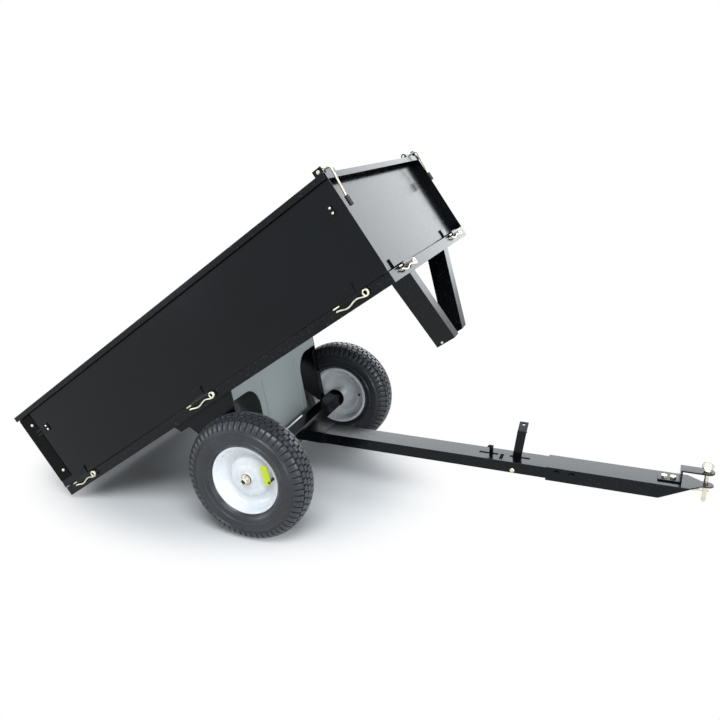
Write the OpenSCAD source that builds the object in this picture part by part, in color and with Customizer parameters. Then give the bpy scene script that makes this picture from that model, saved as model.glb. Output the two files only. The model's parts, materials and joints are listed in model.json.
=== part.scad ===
// Tow-behind tipping dump cart, shown with its tub tipped and its tail just off the ground.
// Millimetres, +X towards the hitch, +Y to the left of the direction of travel, +Z up.
// The origin is on the ground, under the middle of the whole cart.

/* [Tub] */
// Length of the load pan from tail to nose
tub_length = 1410; // [1300:5:1550]
// Width of the load pan over its skirts
tub_width = 780; // [770:5:840]
// Height of the pan's skirt
skirt_height = 31; // [28:1:38]
// Height of the walls above the load floor
wall_height = 289; // [260:1:360]
// Thickness of the sheet steel
sheet = 2; // [1.5:0.1:2.4]
// Height of the turned-down lip on top of the walls
lip_drop = 17; // [12:1:22]
// How far the side walls' lips stand out
side_lip = 12; // [9:1:16]
// How far the front wall stands back from the ends of the side walls
front_recess = 27; // [22:1:34]
// How far the side walls' lowest strip stands out below the crease
crease_out = 3; // [2:0.5:4]
// Height of the crease above the load floor
crease_height = 25; // [20:1:30]

/* [Wheels and axle] */
// Outer radius of the tyres
wheel_radius = 200; // [190:1:215]
// Width of a tyre
tyre_width = 104; // [95:1:112]
// Thickness of a tyre's casing
tyre_wall = 9; // [7:0.5:11]
// Radius of the rim's flange
rim_radius = 110; // [105:1:116]
// Distance between the wheels' middle planes
track = 727; // [700:1:760]
// Reach of the hub outside the wheel's middle plane
hub_reach = 28; // [24:1:52]
// Reach of the hub inside the wheel's middle plane
hub_back = 50; // [45:1:54]
// Radius of the axle shaft
axle_radius = 10; // [8:0.5:11]
// Side of the square axle beam
beam_size = 46; // [42:1:48]
// Distance of the axle from the tail of the pan
axle_from_tail = 666; // [640:1:700]
// Height of the tail's lower edge above the ground when the tub is tipped
tail_clear = 15; // [10:1:20]
// Distance of the axle below the pan's skirt
axle_below = 246; // [240:1:256]

/* [Drawbar] */
// Width of the drawbar's rear channel
bar_width = 82; // [76:1:90]
// Depth of the drawbar's rear channel
bar_depth = 36; // [34:1:42]
// Wall of the drawbar's channels
bar_wall = 3.5; // [3:0.1:4]
// Height of the drawbar's top face above the axle
bar_rise = 14; // [12:1:16]
// Distance of the front channel's rear end ahead of the latch's pivot
section_ahead = 100; // [90:1:120]
// Length by which the two channels overlap
section_overlap = 120; // [100:1:140]
// Distance of the hitch pin ahead of the front channel's rear end
hitch_ahead = 439; // [400:1:480]
// Gap between the hitch tongue and its strap
clevis_gap = 36; // [28:1:44]
// Radius of the hitch pin
hitch_pin_radius = 6; // [5:0.5:7]
// How far the hitch pin can rise before its clip meets the tongue
hitch_pin_play = 15; // [10:1:20]

/* [Legs and latch] */
// Depth of a leg's channel along the cart
leg_depth = 64; // [58:1:70]
// Width of a leg's channel across the cart
leg_width = 40; // [36:1:44]
// Place of the front face of the legs' feet behind the nose of the pan
leg_back = 67; // [62:1:74]
// How far the top of a leg stands ahead of its foot
leg_rake = 48; // [40:1:52]
// Distance of a leg's top from the middle of the cart
leg_top = 200; // [180:1:220]
// Distance of a leg's foot from the middle of the cart
leg_foot = 49; // [46:1:52]
// Distance of the latch lever's pivot ahead of the legs
latch_ahead = 52; // [47:1:57]
// Width of the latch lever's flat bar
lever_width = 27; // [24:1:30]
// Height of the latch lever's bend above the drawbar's top face
lever_height = 91; // [80:1:110]

/* [Hinges and bolts] */
// Distance of a wall's hinge line out from the pan's skirt
hinge_out = 7; // [6.6:0.1:8]
// Radius of the hinge knuckles
knuckle_radius = 6; // [5:0.1:6.4]
// Radius of the hinge clips' wire
clip_wire = 2.5; // [2:0.1:2.8]
// Length of a wall's own knuckle
knuckle_length = 40; // [34:1:48]
// Radius of the corner bolts
corner_bolt_radius = 4.5; // [4:0.1:5]
// Travel of the corner bolts
corner_bolt_travel = 12; // [8:1:14]

/* [Hidden] */

// Round pieces are drawn with this many sides
$fn = 64;
// Radial clearance of a running fit
running = 0.06;
// Clearance of a part that seats on another body
seat = 0.3;
// Extra length of a cut past a face
past = 1;
// Colours of the finishes
gloss_black = [0.05, 0.05, 0.055];
satin_black = [0.03, 0.03, 0.03];
satin_grey = [0.5, 0.53, 0.53];
zinc = [0.72, 0.7, 0.6];
white_paint = [0.9, 0.91, 0.92];
rubber_black = [0.08, 0.08, 0.085];

// Heights in the tub's own frame, up from the bottom of the skirt
wall_top = skirt_height + wall_height;
crease = skirt_height + crease_height;
hinge_height = skirt_height - 3;
wall_gap = 2;
wall_bottom = skirt_height + wall_gap;
lip_bottom = wall_top - lip_drop;

// The tub tips until its tail is just off the ground
tip_reach = norm([axle_from_tail, axle_below]);
tip_angle = asin((wheel_radius - tail_clear) / tip_reach) + atan2(axle_below, axle_from_tail);

// Places along the drawbar, forward of the axle
leg_front = tub_length - leg_back;
latch_place = leg_front - axle_from_tail + latch_ahead;
section_place = latch_place + section_ahead;
hitch_place = section_place + hitch_ahead;

// The tail's top corner and the hitch tongue's end set the length of the cart
tongue_round = 18;
tongue_end = hitch_place + tongue_round + 4;
tail_reach = axle_from_tail * cos(tip_angle) + (axle_below + wall_top) * sin(tip_angle);
axle_x = (tail_reach - tongue_end) / 2;

// Drawbar heights above the ground
bar_top = wheel_radius + bar_rise;
bar_bottom = bar_top - bar_depth;
front_top = bar_top + bar_wall;
front_width = bar_width + 2 * bar_wall;
front_drop = 4.5;
front_bottom = bar_bottom - front_drop;

// Places along the axle
hub_outer = track / 2 + hub_reach;
hub_inner = track / 2 - hub_back;
washer_thick = 2;
washer_radius = 18;
collar_outer = hub_inner - washer_thick - 2 * seat;
collar_length = 26;
collar_inner = collar_outer - collar_length;
bracket_thick = 5;
bracket_y = collar_outer - collar_length / 2;
beam_half = collar_inner - seat;
axle_end = hub_outer + washer_thick + 16;
axle_pin_radius = 2;
axle_pin_length = 36;
axle_pin_y = hub_outer + washer_thick + seat + axle_pin_radius + seat;

// Hitch heights and strap
strap_thick = 5;
strap_width = 40;
strap_reach = 128;
strap_rear = hitch_place - strap_reach;
riser_reach = 69;
strap_riser = hitch_place - riser_reach;
strap_top = front_top + clevis_gap + strap_thick;
hitch_bolt_reach = [110, 86];
hitch_bolt_places = [for (reach = hitch_bolt_reach) hitch_place - reach];
bolt_radius = 5;
bolt_clear = 0.2;
head_radius = 9;
head_thick = 6;
hitch_pin_bottom = bar_bottom - 15;
hitch_clip_z = front_top - bar_wall - hitch_pin_play - 3;
hitch_clip_wire = 1.8;
cut_reach = 122;
cut_rear = hitch_place - cut_reach;
cut_front = hitch_place - 43;

// Drawbar socket at the axle beam
socket_length = 78;
socket_wall = 3;
section_bolt_reach = [32, 75];
section_bolt_places = [for (reach = section_bolt_reach) section_place + reach];

// Latch, with its pivot inside the channel
latch_pivot_z = bar_bottom + 9;
lever_thick = 6;
lever_lean = 11;
lever_root_x = latch_place - 7;
slot_width = 10;
lever_slot = [latch_place - 15, latch_place + 46];
hook_slot_reach = [111, 52];
hook_slot = [for (reach = hook_slot_reach) latch_place - reach];
cross_slot = [latch_place - 44, latch_place - 34];
cross_slot_y = [-34, 6];
lever_bend_z = bar_top + lever_height;
tip_length = 44;
tip_rise = 20;
tip_hole_radius = 5;
tip_hole_in = 11;
arm_top = latch_pivot_z + 9;
arm_bottom = latch_pivot_z - 6;

// Pin between the legs' feet that the latch hooks over
latch_pin_radius = 4;
latch_pin_up = 7;
latch_pin_in = 23;
foot_drop = axle_below - bar_rise - seat;
leg_wall = 3;
latch_pin_u = leg_front - leg_depth + latch_pin_in;
latch_pin_x = latch_pin_u - axle_from_tail;
nose_tip = latch_pin_x + latch_pin_radius + 1.5;
nose_bottom = bar_top + latch_pin_up + latch_pin_radius + 9;
nose_thick = 8;
stem_width = 12;
stem_front = nose_tip + 8 + stem_width;

// Return spring round the latch's pivot bolt, as the sleeve that its curls fill
spring_wire = 1;
spring_length = 19;
spring_start = 6;

// Hinges along the pan's sides and nose
side_hinges = [112, 700, tub_length - 123];
front_hinges = [-265, 255];
lug_length = 18;
lug_gap = 0.5;
hinge_bore = clip_wire + running;
strap_rise = 29;
clip_turn = 8;
clip_leg = knuckle_length / 2 + lug_length + 14;
clip_steps = 24;

// Tail end of the side walls
strip_width = 57;
strip_bolt_u = 40;
strip_bolt_heights = [86, 266];
strip_bolt_radius = 4;
strip_bolt_head = 8;
guide_base = 2;
guide_wall = 2;
guide_depth = 12;
guide_outer = 8;
guide_slot = sheet + 1;
guide_length = 50;
guide_bottom = skirt_height + 6;
tailgate_u = guide_outer + guide_wall + 0.5;
tailgate_half = tub_width / 2 - sheet - guide_base - 1;

// Keeper plates on the outside of the side walls: middle and size along the tub and up
keeper_thick = 3;
keeper_rear = [85, 232, 37, 26];
keeper_front = [tub_length - 45, 235, 25, 28];
keeper_bars = [225, 238];
keeper_bar_height = 6;
rivet_radius = 3.5;
rivet_height = 2;

// Corner bolts on top of the front wall's lip
front_face = tub_length - front_recess;
front_half = tub_width / 2 - sheet - 1.5;
front_lip = front_recess - 2;
corner_bolt_u = tub_length - 14;
barrel_radius = 9;
corner_bolt_w = wall_top + barrel_radius;
barrel_length = 60;
bolt_tip = tub_width / 2 - sheet - 1;
collar_size = 7.5;
collar_half = 5;
handle_y = bolt_tip - corner_bolt_travel - collar_half;
barrel_end = handle_y - collar_half - 1;
handle_wire = 3;
handle_out = 14;
handle_in = 7.5;
handle_drop = 108;
grip_radius = 6.5;
grip_length = 28;
ear_height = 18;

// Moves a piece from the tub's level frame to the tipped tub
module tub_place() {
    translate([axle_x, 0, wheel_radius])
        rotate([0, -tip_angle, 0])
            translate([-axle_from_tail, 0, axle_below])
                children();
}

// Moves a piece from the axle's place on the ground to the cart's frame
module chassis_place() {
    translate([axle_x, 0, 0]) children();
}

// Cylinder along Y, from one place to another
module rod_y(x, z, y0, y1, r, sides = 64) {
    translate([x, y0, z]) rotate([-90, 0, 0]) cylinder(r = r, h = y1 - y0, $fn = sides);
}

// Cylinder along X, from one place to another
module rod_x(y, z, x0, x1, r) {
    translate([x0, y, z]) rotate([0, 90, 0]) cylinder(r = r, h = x1 - x0);
}

// Box from its lowest to its highest corner
module block(low, high) {
    translate(low) cube(high - low);
}

// Plate with a flat outline in X and Z, between two places along Y
module plate_y(y0, y1) {
    translate([0, y1, 0]) rotate([90, 0, 0]) linear_extrude(y1 - y0) children();
}

// Direction of a flat route at one of its points
function route_dir(route, i) =
    let (a = route[max(i - 1, 0)], b = route[min(i + 1, len(route) - 1)]) (b - a) / norm(b - a);

// Rings of a wire along a flat route of X and Z
function wire_rings(route, r, sides) = [
    for (i = [0:len(route) - 1])
        let (d = route_dir(route, i))
            [for (k = [0:sides - 1])
                let (a = 360 * (k + 0.5) / sides)
                    [route[i].x - d.y * r * cos(a), r * sin(a), route[i].y + d.x * r * cos(a)]]
];

// Closed tube through rings of points
module tube(rings) {
    sides = len(rings[0]);
    last = (len(rings) - 1) * sides;
    walls = [
        for (i = [0:len(rings) - 2], k = [0:sides - 1])
            let (a = i * sides + k, b = i * sides + (k + 1) % sides)
                each [[a, b + sides, b], [a, a + sides, b + sides]]
    ];
    start_cap = [for (k = [1:sides - 2]) [0, k, k + 1]];
    end_cap = [for (k = [1:sides - 2]) [last, last + k + 1, last + k]];
    polyhedron([for (ring = rings) each ring], concat(walls, start_cap, end_cap));
}

// Route of a hairpin clip: straight leg, turn, and a wavy leg that comes back below it
function clip_route(leg, turn, near, steps) = concat(
    [[-leg, 0], [0, 0]],
    [for (i = [1:8]) let (a = 90 - 180 * i / 8) [turn * cos(a), turn * sin(a) - turn]],
    [for (i = [1:steps - 10])
        let (t = i / (steps - 10), deep = 2 * turn - near)
            [-leg * 0.95 * t, -2 * turn + deep * (1 - cos(540 * t)) / 2]]
);

// Hexagon bolt across the cart, with its head on the right and its nut on the left
module cross_bolt(x, z, half) {
    rod_y(x, z, -half, half + head_thick + 3, bolt_radius);
    rod_y(x, z, -half - head_thick, -half, head_radius, 6);
    rod_y(x, z, half, half + head_thick, head_radius, 6);
}

// Axle and its small parts
module axle_shaft() {
    color(zinc) chassis_place() difference() {
        rod_y(0, wheel_radius, -axle_end, axle_end, axle_radius);
        for (side = [-1, 1])
            translate([0, side * axle_pin_y, wheel_radius - axle_radius - past])
                cylinder(r = axle_pin_radius + running, h = 2 * (axle_radius + past));
    }
}

module axle_beam() {
    inner = beam_size - 8;
    end_plate = 6;
    color(gloss_black) chassis_place() difference() {
        block([-beam_size / 2, -beam_half, wheel_radius - beam_size / 2],
            [beam_size / 2, beam_half, wheel_radius + beam_size / 2]);
        block([-inner / 2, end_plate - beam_half, wheel_radius - inner / 2],
            [inner / 2, beam_half - end_plate, wheel_radius + inner / 2]);
        rod_y(0, wheel_radius, -beam_half - past, beam_half + past, axle_radius + running);
    }
}

module axle_washers() {
    color(zinc) chassis_place()
        for (side = [-1, 1], y = [hub_outer + seat, hub_inner - seat - washer_thick])
            mirror([0, side < 0 ? 1 : 0, 0]) difference() {
                rod_y(0, wheel_radius, y, y + washer_thick, washer_radius);
                rod_y(0, wheel_radius, y - past, y + washer_thick + past, axle_radius + running);
            }
}

module axle_pins() {
    color(zinc) chassis_place()
        for (side = [-1, 1])
            translate([0, side * axle_pin_y, wheel_radius - axle_pin_length / 2])
                cylinder(r = axle_pin_radius, h = axle_pin_length);
}

// Drawbar
module channel(x0, x1, width, top, bottom, wall) {
    difference() {
        block([x0, -width / 2, bottom], [x1, width / 2, top]);
        block([x0 - past, wall - width / 2, bottom - past], [x1 + past, width / 2 - wall, top - wall]);
    }
}

module drawbar_socket() {
    outer = bar_width + 2 * socket_wall;
    color(gloss_black) chassis_place()
        channel(beam_size / 2, beam_size / 2 + socket_length, outer, bar_top + socket_wall,
            bar_bottom, socket_wall);
}

module drawbar_rear() {
    color(gloss_black) chassis_place() difference() {
        channel(beam_size / 2, section_place + section_overlap, bar_width, bar_top, bar_bottom, bar_wall);
        for (slot = [lever_slot, hook_slot])
            block([slot[0], -slot_width / 2, bar_top - bar_wall - past],
                [slot[1], slot_width / 2, bar_top + past]);
        block([cross_slot[0], cross_slot_y[0], bar_top - bar_wall - past],
            [cross_slot[1], cross_slot_y[1], bar_top + past]);
        rod_y(latch_place, latch_pivot_z, -bar_width, bar_width, bolt_radius + running);
        for (x = section_bolt_places)
            rod_y(x, wheel_radius, -bar_width, bar_width, bolt_radius + bolt_clear);
    }
}

module drawbar_front() {
    color(gloss_black) chassis_place() difference() {
        union() {
            difference() {
                channel(section_place, cut_front, front_width, front_top, front_bottom, bar_wall);
                plate_y(-front_width, front_width)
                    polygon([[cut_rear, front_bottom], [cut_front + past, front_top - bar_wall],
                        [cut_front + past, front_bottom - past], [cut_rear, front_bottom - past]]);
            }
            hitch_tongue();
        }
        translate([hitch_place, 0, front_bottom])
            cylinder(r = hitch_pin_radius + running, h = front_top - front_bottom + past);
        for (x = hitch_bolt_places)
            translate([x, 0, front_bottom])
                cylinder(r = bolt_radius + bolt_clear, h = front_top - front_bottom + past);
        for (x = section_bolt_places)
            rod_y(x, wheel_radius, -front_width, front_width, bolt_radius + bolt_clear);
    }
}

// The top plate runs on past the sides as a tapered tongue with a round end
module hitch_tongue() {
    straight = tongue_round * 2;
    taper_end = hitch_place - 10;
    translate([0, 0, front_top - bar_wall]) linear_extrude(bar_wall) union() {
        polygon([[cut_front - past, -front_width / 2], [taper_end, -straight / 2],
            [hitch_place + 4, -straight / 2], [hitch_place + 4, straight / 2],
            [taper_end, straight / 2], [cut_front - past, front_width / 2]]);
        translate([hitch_place + 4, 0]) circle(r = tongue_round);
    }
}

module drawbar_bolts() {
    color(gloss_black) chassis_place()
        for (x = section_bolt_places) cross_bolt(x, wheel_radius, front_width / 2);
}

// Hitch
module hitch_strap() {
    color(gloss_black) chassis_place() difference() {
        union() {
            block([strap_rear, -strap_width / 2, front_top],
                [strap_riser + strap_thick, strap_width / 2, front_top + strap_thick]);
            block([strap_riser, -strap_width / 2, front_top],
                [strap_riser + strap_thick, strap_width / 2, strap_top]);
            block([strap_riser, -strap_width / 2, strap_top - strap_thick],
                [hitch_place, strap_width / 2, strap_top]);
            translate([hitch_place, 0, strap_top - strap_thick])
                cylinder(r = strap_width / 2, h = strap_thick);
        }
        translate([hitch_place, 0, front_top])
            cylinder(r = hitch_pin_radius + running, h = clevis_gap + strap_thick + past);
        for (x = hitch_bolt_places)
            translate([x, 0, front_top - past])
                cylinder(r = bolt_radius + bolt_clear, h = strap_thick + 2 * past);
    }
}

module hitch_bolts() {
    base = front_top + strap_thick;
    under = front_top - bar_wall;
    bolt_tail = 3;
    color(zinc) chassis_place()
        for (x = hitch_bolt_places) translate([x, 0, 0]) {
            translate([0, 0, under - head_thick - bolt_tail])
                cylinder(r = bolt_radius, h = base - under + head_thick + bolt_tail);
            translate([0, 0, base]) cylinder(r = head_radius, h = head_thick, $fn = 6);
            translate([0, 0, under - head_thick]) cylinder(r = head_radius, h = head_thick, $fn = 6);
        }
}

module hitch_pin() {
    collar = 4;
    ring_radius = 13;
    ring_wire = 3;
    color(zinc) chassis_place() translate([hitch_place, 0, 0]) difference() {
        union() {
            translate([0, 0, hitch_pin_bottom])
                cylinder(r = hitch_pin_radius, h = strap_top - hitch_pin_bottom + collar);
            translate([0, 0, strap_top]) cylinder(r = hitch_pin_radius + 4, h = collar);
            translate([0, 0, strap_top + collar + ring_radius]) rotate([90, 0, 0])
                rotate_extrude() translate([ring_radius, 0]) circle(r = ring_wire);
        }
        rod_x(0, hitch_clip_z, -past - hitch_pin_radius, hitch_pin_radius + past,
            hitch_clip_wire + running);
    }
}

module hitch_clip() {
    leg = 44;
    turn = 9;
    beside = hitch_pin_radius + hitch_clip_wire + seat;
    color(zinc) chassis_place()
        translate([hitch_place + 14 - leg, 0, hitch_clip_z]) mirror([1, 0, 0])
            rotate([90, 0, 0])
                tube(wire_rings(clip_route(leg, turn, beside, clip_steps), hitch_clip_wire, 6));
}

// Latch
module latch_pivot_bolt() {
    half = bar_width / 2;
    color(zinc) chassis_place() {
        rod_y(latch_place, latch_pivot_z, -half, half + head_thick + 3, bolt_radius);
        rod_y(latch_place, latch_pivot_z, -half - 4, -half, head_radius);
        rod_y(latch_place, latch_pivot_z, half, half + head_thick, head_radius, 6);
    }
}

module latch_spring() {
    inner = bolt_radius + seat;
    stop = spring_start + spring_length;
    color(zinc) chassis_place() difference() {
        rod_y(latch_place, latch_pivot_z, spring_start, stop, inner + 2 * spring_wire);
        rod_y(latch_place, latch_pivot_z, spring_start - past, stop + past, inner);
    }
}

module lever_outline() {
    foot = lever_root_x;
    difference() {
        union() {
            translate([latch_place, latch_pivot_z]) circle(r = 11);
            polygon([[foot, bar_top], [foot + lever_lean, lever_bend_z],
                [foot + lever_lean + lever_width, lever_bend_z], [foot + lever_width, bar_top],
                [latch_place + 9, arm_bottom], [latch_place - 9, arm_bottom]]);
            polygon([[nose_tip, nose_bottom], [nose_tip + 6, nose_bottom + nose_thick],
                [stem_front, nose_bottom + nose_thick], [stem_front, arm_top], [latch_place, arm_top],
                [latch_place, arm_bottom], [stem_front - stem_width, arm_bottom],
                [stem_front - stem_width, nose_bottom]]);
        }
        translate([latch_place, latch_pivot_z]) circle(r = bolt_radius + running);
    }
}

module latch_lever() {
    left = lever_root_x + lever_lean;
    color(gloss_black) chassis_place() {
        plate_y(-lever_thick / 2, lever_thick / 2) lever_outline();
        translate([left, -lever_thick / 2, lever_bend_z - lever_thick]) rotate([tip_rise, 0, 0])
            difference() {
                cube([lever_width, tip_length, lever_thick]);
                translate([lever_width / 2, tip_length - tip_hole_in, -past])
                    cylinder(r = tip_hole_radius, h = lever_thick + 2 * past);
            }
    }
}

// Tub floor and what hangs under it
module floor_pan() {
    color(gloss_black) tub_place() difference() {
        block([0, -tub_width / 2, 0], [tub_length, tub_width / 2, skirt_height]);
        block([sheet, sheet - tub_width / 2, -past],
            [tub_length - sheet, tub_width / 2 - sheet, skirt_height - sheet]);
    }
}

// Saddle under the tub: side plates that carry it on the axle, with slanted plates between them
saddle_lean = 25.2;
saddle_roof = skirt_height - sheet;
saddle_ahead = 80;
saddle_behind = 144;
saddle_front = axle_from_tail + saddle_ahead;
saddle_rear = axle_from_tail - saddle_behind;
saddle_thick = 3;
saddle_foot = 16;
saddle_low = axle_below - 31;
saddle_band = 67;
saddle_waist = 150;
saddle_fillet = 70;
saddle_rib_place = 115;
saddle_rib_radius = 5;
saddle_rib_top = 70;
saddle_rib_end = 16;
rail_behind = 203;
rail_rear = axle_from_tail - rail_behind;
rail_drop = 24;
rail_chamfer = 16;
rail_tail = 55;
bracket_hub = 34;
bracket_flange = 26;
bracket_flange_top = 49;

// Place of the front plate's face at a height in the tub's frame
function saddle_face(w) = saddle_front - (saddle_roof - w) * tan(saddle_lean);

// Point where a line from a point touches the bracket's round foot
function hub_touch(point, turn) =
    let (way = [axle_from_tail, -axle_below] - point)
        let (a = atan2(way.y, way.x) + turn * asin(bracket_hub / norm(way)))
            point + sqrt(way * way - bracket_hub * bracket_hub) * [cos(a), sin(a)];

module bracket_outline() {
    web_rear = rail_rear + rail_tail;
    foot_rear = saddle_face(-saddle_low) - bracket_hub;
    heel = [foot_rear, -saddle_low];
    toe = [saddle_face(-saddle_low), -saddle_low];
    polygon([[rail_rear, saddle_roof], [rail_rear, rail_chamfer / 4],
        [rail_rear + rail_chamfer, -rail_drop], [web_rear, -rail_drop], heel, toe,
        [saddle_front, saddle_roof]]);
    translate([axle_from_tail, -axle_below]) circle(r = bracket_hub);
    polygon([heel, hub_touch(heel, -1), [axle_from_tail, -axle_below], hub_touch(toe, 1), toe]);
}

module bracket_at(side) {
    top = -bracket_flange_top;
    low = -saddle_low;
    color(gloss_black) tub_place() mirror([0, side < 0 ? 1 : 0, 0]) difference() {
        union() {
            plate_y(bracket_y - bracket_thick / 2, bracket_y + bracket_thick / 2) bracket_outline();
            plate_y(bracket_y - bracket_flange, bracket_y)
                polygon([[saddle_face(low), low], [saddle_face(top), top],
                    [saddle_face(top) - saddle_thick, top], [saddle_face(low) - saddle_thick, low]]);
            rod_y(axle_from_tail, -axle_below, collar_inner, collar_outer, 2 * axle_radius);
        }
        rod_y(axle_from_tail, -axle_below, collar_inner - past, collar_outer + past,
            axle_radius + running);
    }
}

// Saddle plate with drawn-in sides, upright in Y and Z with its top edge at z = 0
module saddle_outline(long, half) {
    arc = [for (i = [0:8]) let (a = 90 * i / 8) saddle_fillet * [1 - cos(a), 1 - sin(a)]];
    side = concat([[half, 0], [half, -saddle_band]],
        [for (i = [8:-1:0]) [saddle_waist + arc[i].x, -saddle_band - arc[i].y]],
        [[saddle_waist, -long]]);
    polygon(concat(side, [for (i = [len(side) - 1:-1:0]) [-side[i].x, side[i].y]]));
}

module saddle_at(place, lean, long) {
    half = bracket_y - bracket_thick / 2 - seat;
    translate([place, 0, saddle_roof]) rotate([0, lean, 0]) translate([-saddle_thick, 0, 0])
        rotate([90, 0, 90]) linear_extrude(saddle_thick) saddle_outline(long, half);
}

module saddle_plates() {
    long = (saddle_low + saddle_roof) / cos(saddle_lean);
    rear_foot = saddle_face(-saddle_low) - saddle_foot;
    rear_lean = -atan2(rear_foot - saddle_rear, saddle_low + saddle_roof);
    rear_long = (saddle_low + saddle_roof) / cos(rear_lean);
    rib_low = long - saddle_rib_end;
    color(satin_grey) tub_place() intersection() {
        union() {
            saddle_at(saddle_front, saddle_lean, long);
            saddle_at(saddle_rear, rear_lean, rear_long);
            translate([saddle_front, 0, saddle_roof]) rotate([0, saddle_lean, 0])
                for (y = [-saddle_rib_place, saddle_rib_place]) translate([-1, y, 0]) {
                    translate([0, 0, -rib_low])
                        cylinder(r = saddle_rib_radius, h = rib_low - saddle_rib_top);
                    for (z = [saddle_rib_top, rib_low])
                        translate([0, 0, -z]) sphere(r = saddle_rib_radius);
                }
        }
        block([0, -tub_width / 2, -axle_below], [tub_length, tub_width / 2, saddle_roof]);
    }
}

module bracket_left() { bracket_at(1); }
module bracket_right() { bracket_at(-1); }

// Slanted and raked channel leg, cut level at its top and foot
module leg_at(side) {
    rise = foot_drop + skirt_height - sheet;
    lean = atan2(leg_top - leg_foot, rise);
    long = rise + 4 * leg_width;
    color(gloss_black) tub_place() mirror([0, side < 0 ? 1 : 0, 0]) difference() {
        intersection() {
            translate([leg_front - leg_depth, leg_foot, -foot_drop])
                multmatrix([[1, 0, leg_rake / rise, 0], [0, 1, 0, 0], [0, 0, 1, 0]]) rotate([-lean, 0, 0])
                difference() {
                    translate([0, -leg_width / 2, -2 * leg_width]) cube([leg_depth, leg_width, long]);
                    translate([-past, leg_wall - leg_width / 2, -2 * leg_width - past])
                        cube([leg_depth - leg_wall + past, leg_width - 2 * leg_wall, long + 2 * past]);
                }
            block([leg_front - leg_depth - past, 0, -foot_drop],
                [leg_front + leg_rake + past, tub_width / 2, skirt_height - sheet]);
        }
        rod_y(latch_pin_u, latch_pin_up - foot_drop, 0, tub_width / 2, latch_pin_radius + running);
    }
}

module leg_left() { leg_at(1); }
module leg_right() { leg_at(-1); }

module latch_pin() {
    half = leg_foot + leg_width / 2 + 8;
    color(zinc) tub_place() rod_y(latch_pin_u, latch_pin_up - foot_drop, -half, half, latch_pin_radius);
}

// Hinge lugs on the pan, two for each hinge, drawn along X with the skirt at y = 0
module lug_pair() {
    half = knuckle_length / 2 + lug_gap;
    for (x = [-half - lug_length, half]) difference() {
        union() {
            rod_x(hinge_out, hinge_height, x, x + lug_length, knuckle_radius);
            block([x, 0, hinge_height - knuckle_radius], [x + lug_length, hinge_out, hinge_height]);
        }
        rod_x(hinge_out, hinge_height, x - past, x + lug_length + past, hinge_bore);
    }
}

// Wall's own knuckle with its strap, to be joined to the wall, whose sheet it may start within
module wall_knuckle(back, into = 0) {
    half = knuckle_length / 2;
    translate([-half, 0, 0]) {
        rod_x(hinge_out, hinge_height, 0, knuckle_length, knuckle_radius);
        block([0, 0, hinge_height], [knuckle_length, hinge_out, hinge_height + knuckle_radius]);
        block([0, -back - into, wall_bottom],
            [knuckle_length, hinge_out, hinge_height + knuckle_radius + 2]);
        block([0, -back - into, wall_bottom],
            [knuckle_length, crease_out + sheet - back, skirt_height + strap_rise]);
    }
}

module wall_knuckle_bore() {
    half = knuckle_length / 2 + past;
    rod_x(hinge_out, hinge_height, -half, half, hinge_bore);
}

module hinge_clip() {
    translate([knuckle_length / 2 + lug_length + 6, hinge_out, hinge_height])
        tube(wire_rings(clip_route(2 * clip_leg, clip_turn, knuckle_radius + clip_wire + 0.7, clip_steps),
            clip_wire, 6));
}

// Places what is drawn along X at each hinge of a side, with the skirt's face at y = 0
module at_side_hinges(side) {
    for (u = side_hinges) at_side(side) translate([u, 0, 0]) children();
}

module at_side(side) {
    mirror([0, side < 0 ? 1 : 0, 0]) translate([0, tub_width / 2, 0]) children();
}

module at_front_hinges() {
    for (y = front_hinges)
        translate([tub_length, y, 0]) rotate([0, 0, -90]) mirror([1, 0, 0]) children();
}

module hinge_lugs_left() { color(gloss_black) tub_place() at_side_hinges(1) lug_pair(); }
module hinge_lugs_right() { color(gloss_black) tub_place() at_side_hinges(-1) lug_pair(); }
module hinge_lugs_front() { color(gloss_black) tub_place() at_front_hinges() lug_pair(); }
module hinge_clips_left() { color(zinc) tub_place() at_side_hinges(1) hinge_clip(); }
module hinge_clips_right() { color(zinc) tub_place() at_side_hinges(-1) hinge_clip(); }
module hinge_clips_front() { color(zinc) tub_place() at_front_hinges() hinge_clip(); }

// Side wall: sheet with a crease near its foot and a turned-down lip on top
module side_profile() {
    polygon([[crease_out - sheet, wall_bottom], [crease_out, wall_bottom], [0, crease],
        [0, wall_top - sheet], [side_lip - sheet, wall_top - sheet], [side_lip - sheet, lip_bottom],
        [side_lip, lip_bottom], [side_lip, wall_top], [-sheet, wall_top], [-sheet, crease]]);
}

module strip_bolt_holes(side) {
    for (w = strip_bolt_heights)
        at_side(side) rod_y(strip_bolt_u, w, -3 * sheet - past, 3 * sheet + past,
            strip_bolt_radius + running);
}

module side_panel_at(side) {
    color(gloss_black) tub_place() difference() {
        union() {
            at_side(side) rotate([90, 0, 90]) linear_extrude(tub_length) side_profile();
            at_side_hinges(side) wall_knuckle(0);
            at_side(side) block([tub_length - 28, -sheet, wall_top - sheet],
                [tub_length, 0, wall_top + ear_height]);
        }
        at_side_hinges(side) wall_knuckle_bore();
        strip_bolt_holes(side);
        at_side(side) rod_y(corner_bolt_u, corner_bolt_w, -sheet - past, past, corner_bolt_radius + 0.5);
    }
}

module side_panel_left() { side_panel_at(1); }
module side_panel_right() { side_panel_at(-1); }

module end_strip_at(side) {
    color(satin_black) tub_place() difference() {
        at_side(side) block([0, 0, crease], [strip_width, sheet, lip_bottom - sheet]);
        strip_bolt_holes(side);
    }
}

module end_strip_left() { end_strip_at(1); }
module end_strip_right() { end_strip_at(-1); }

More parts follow.
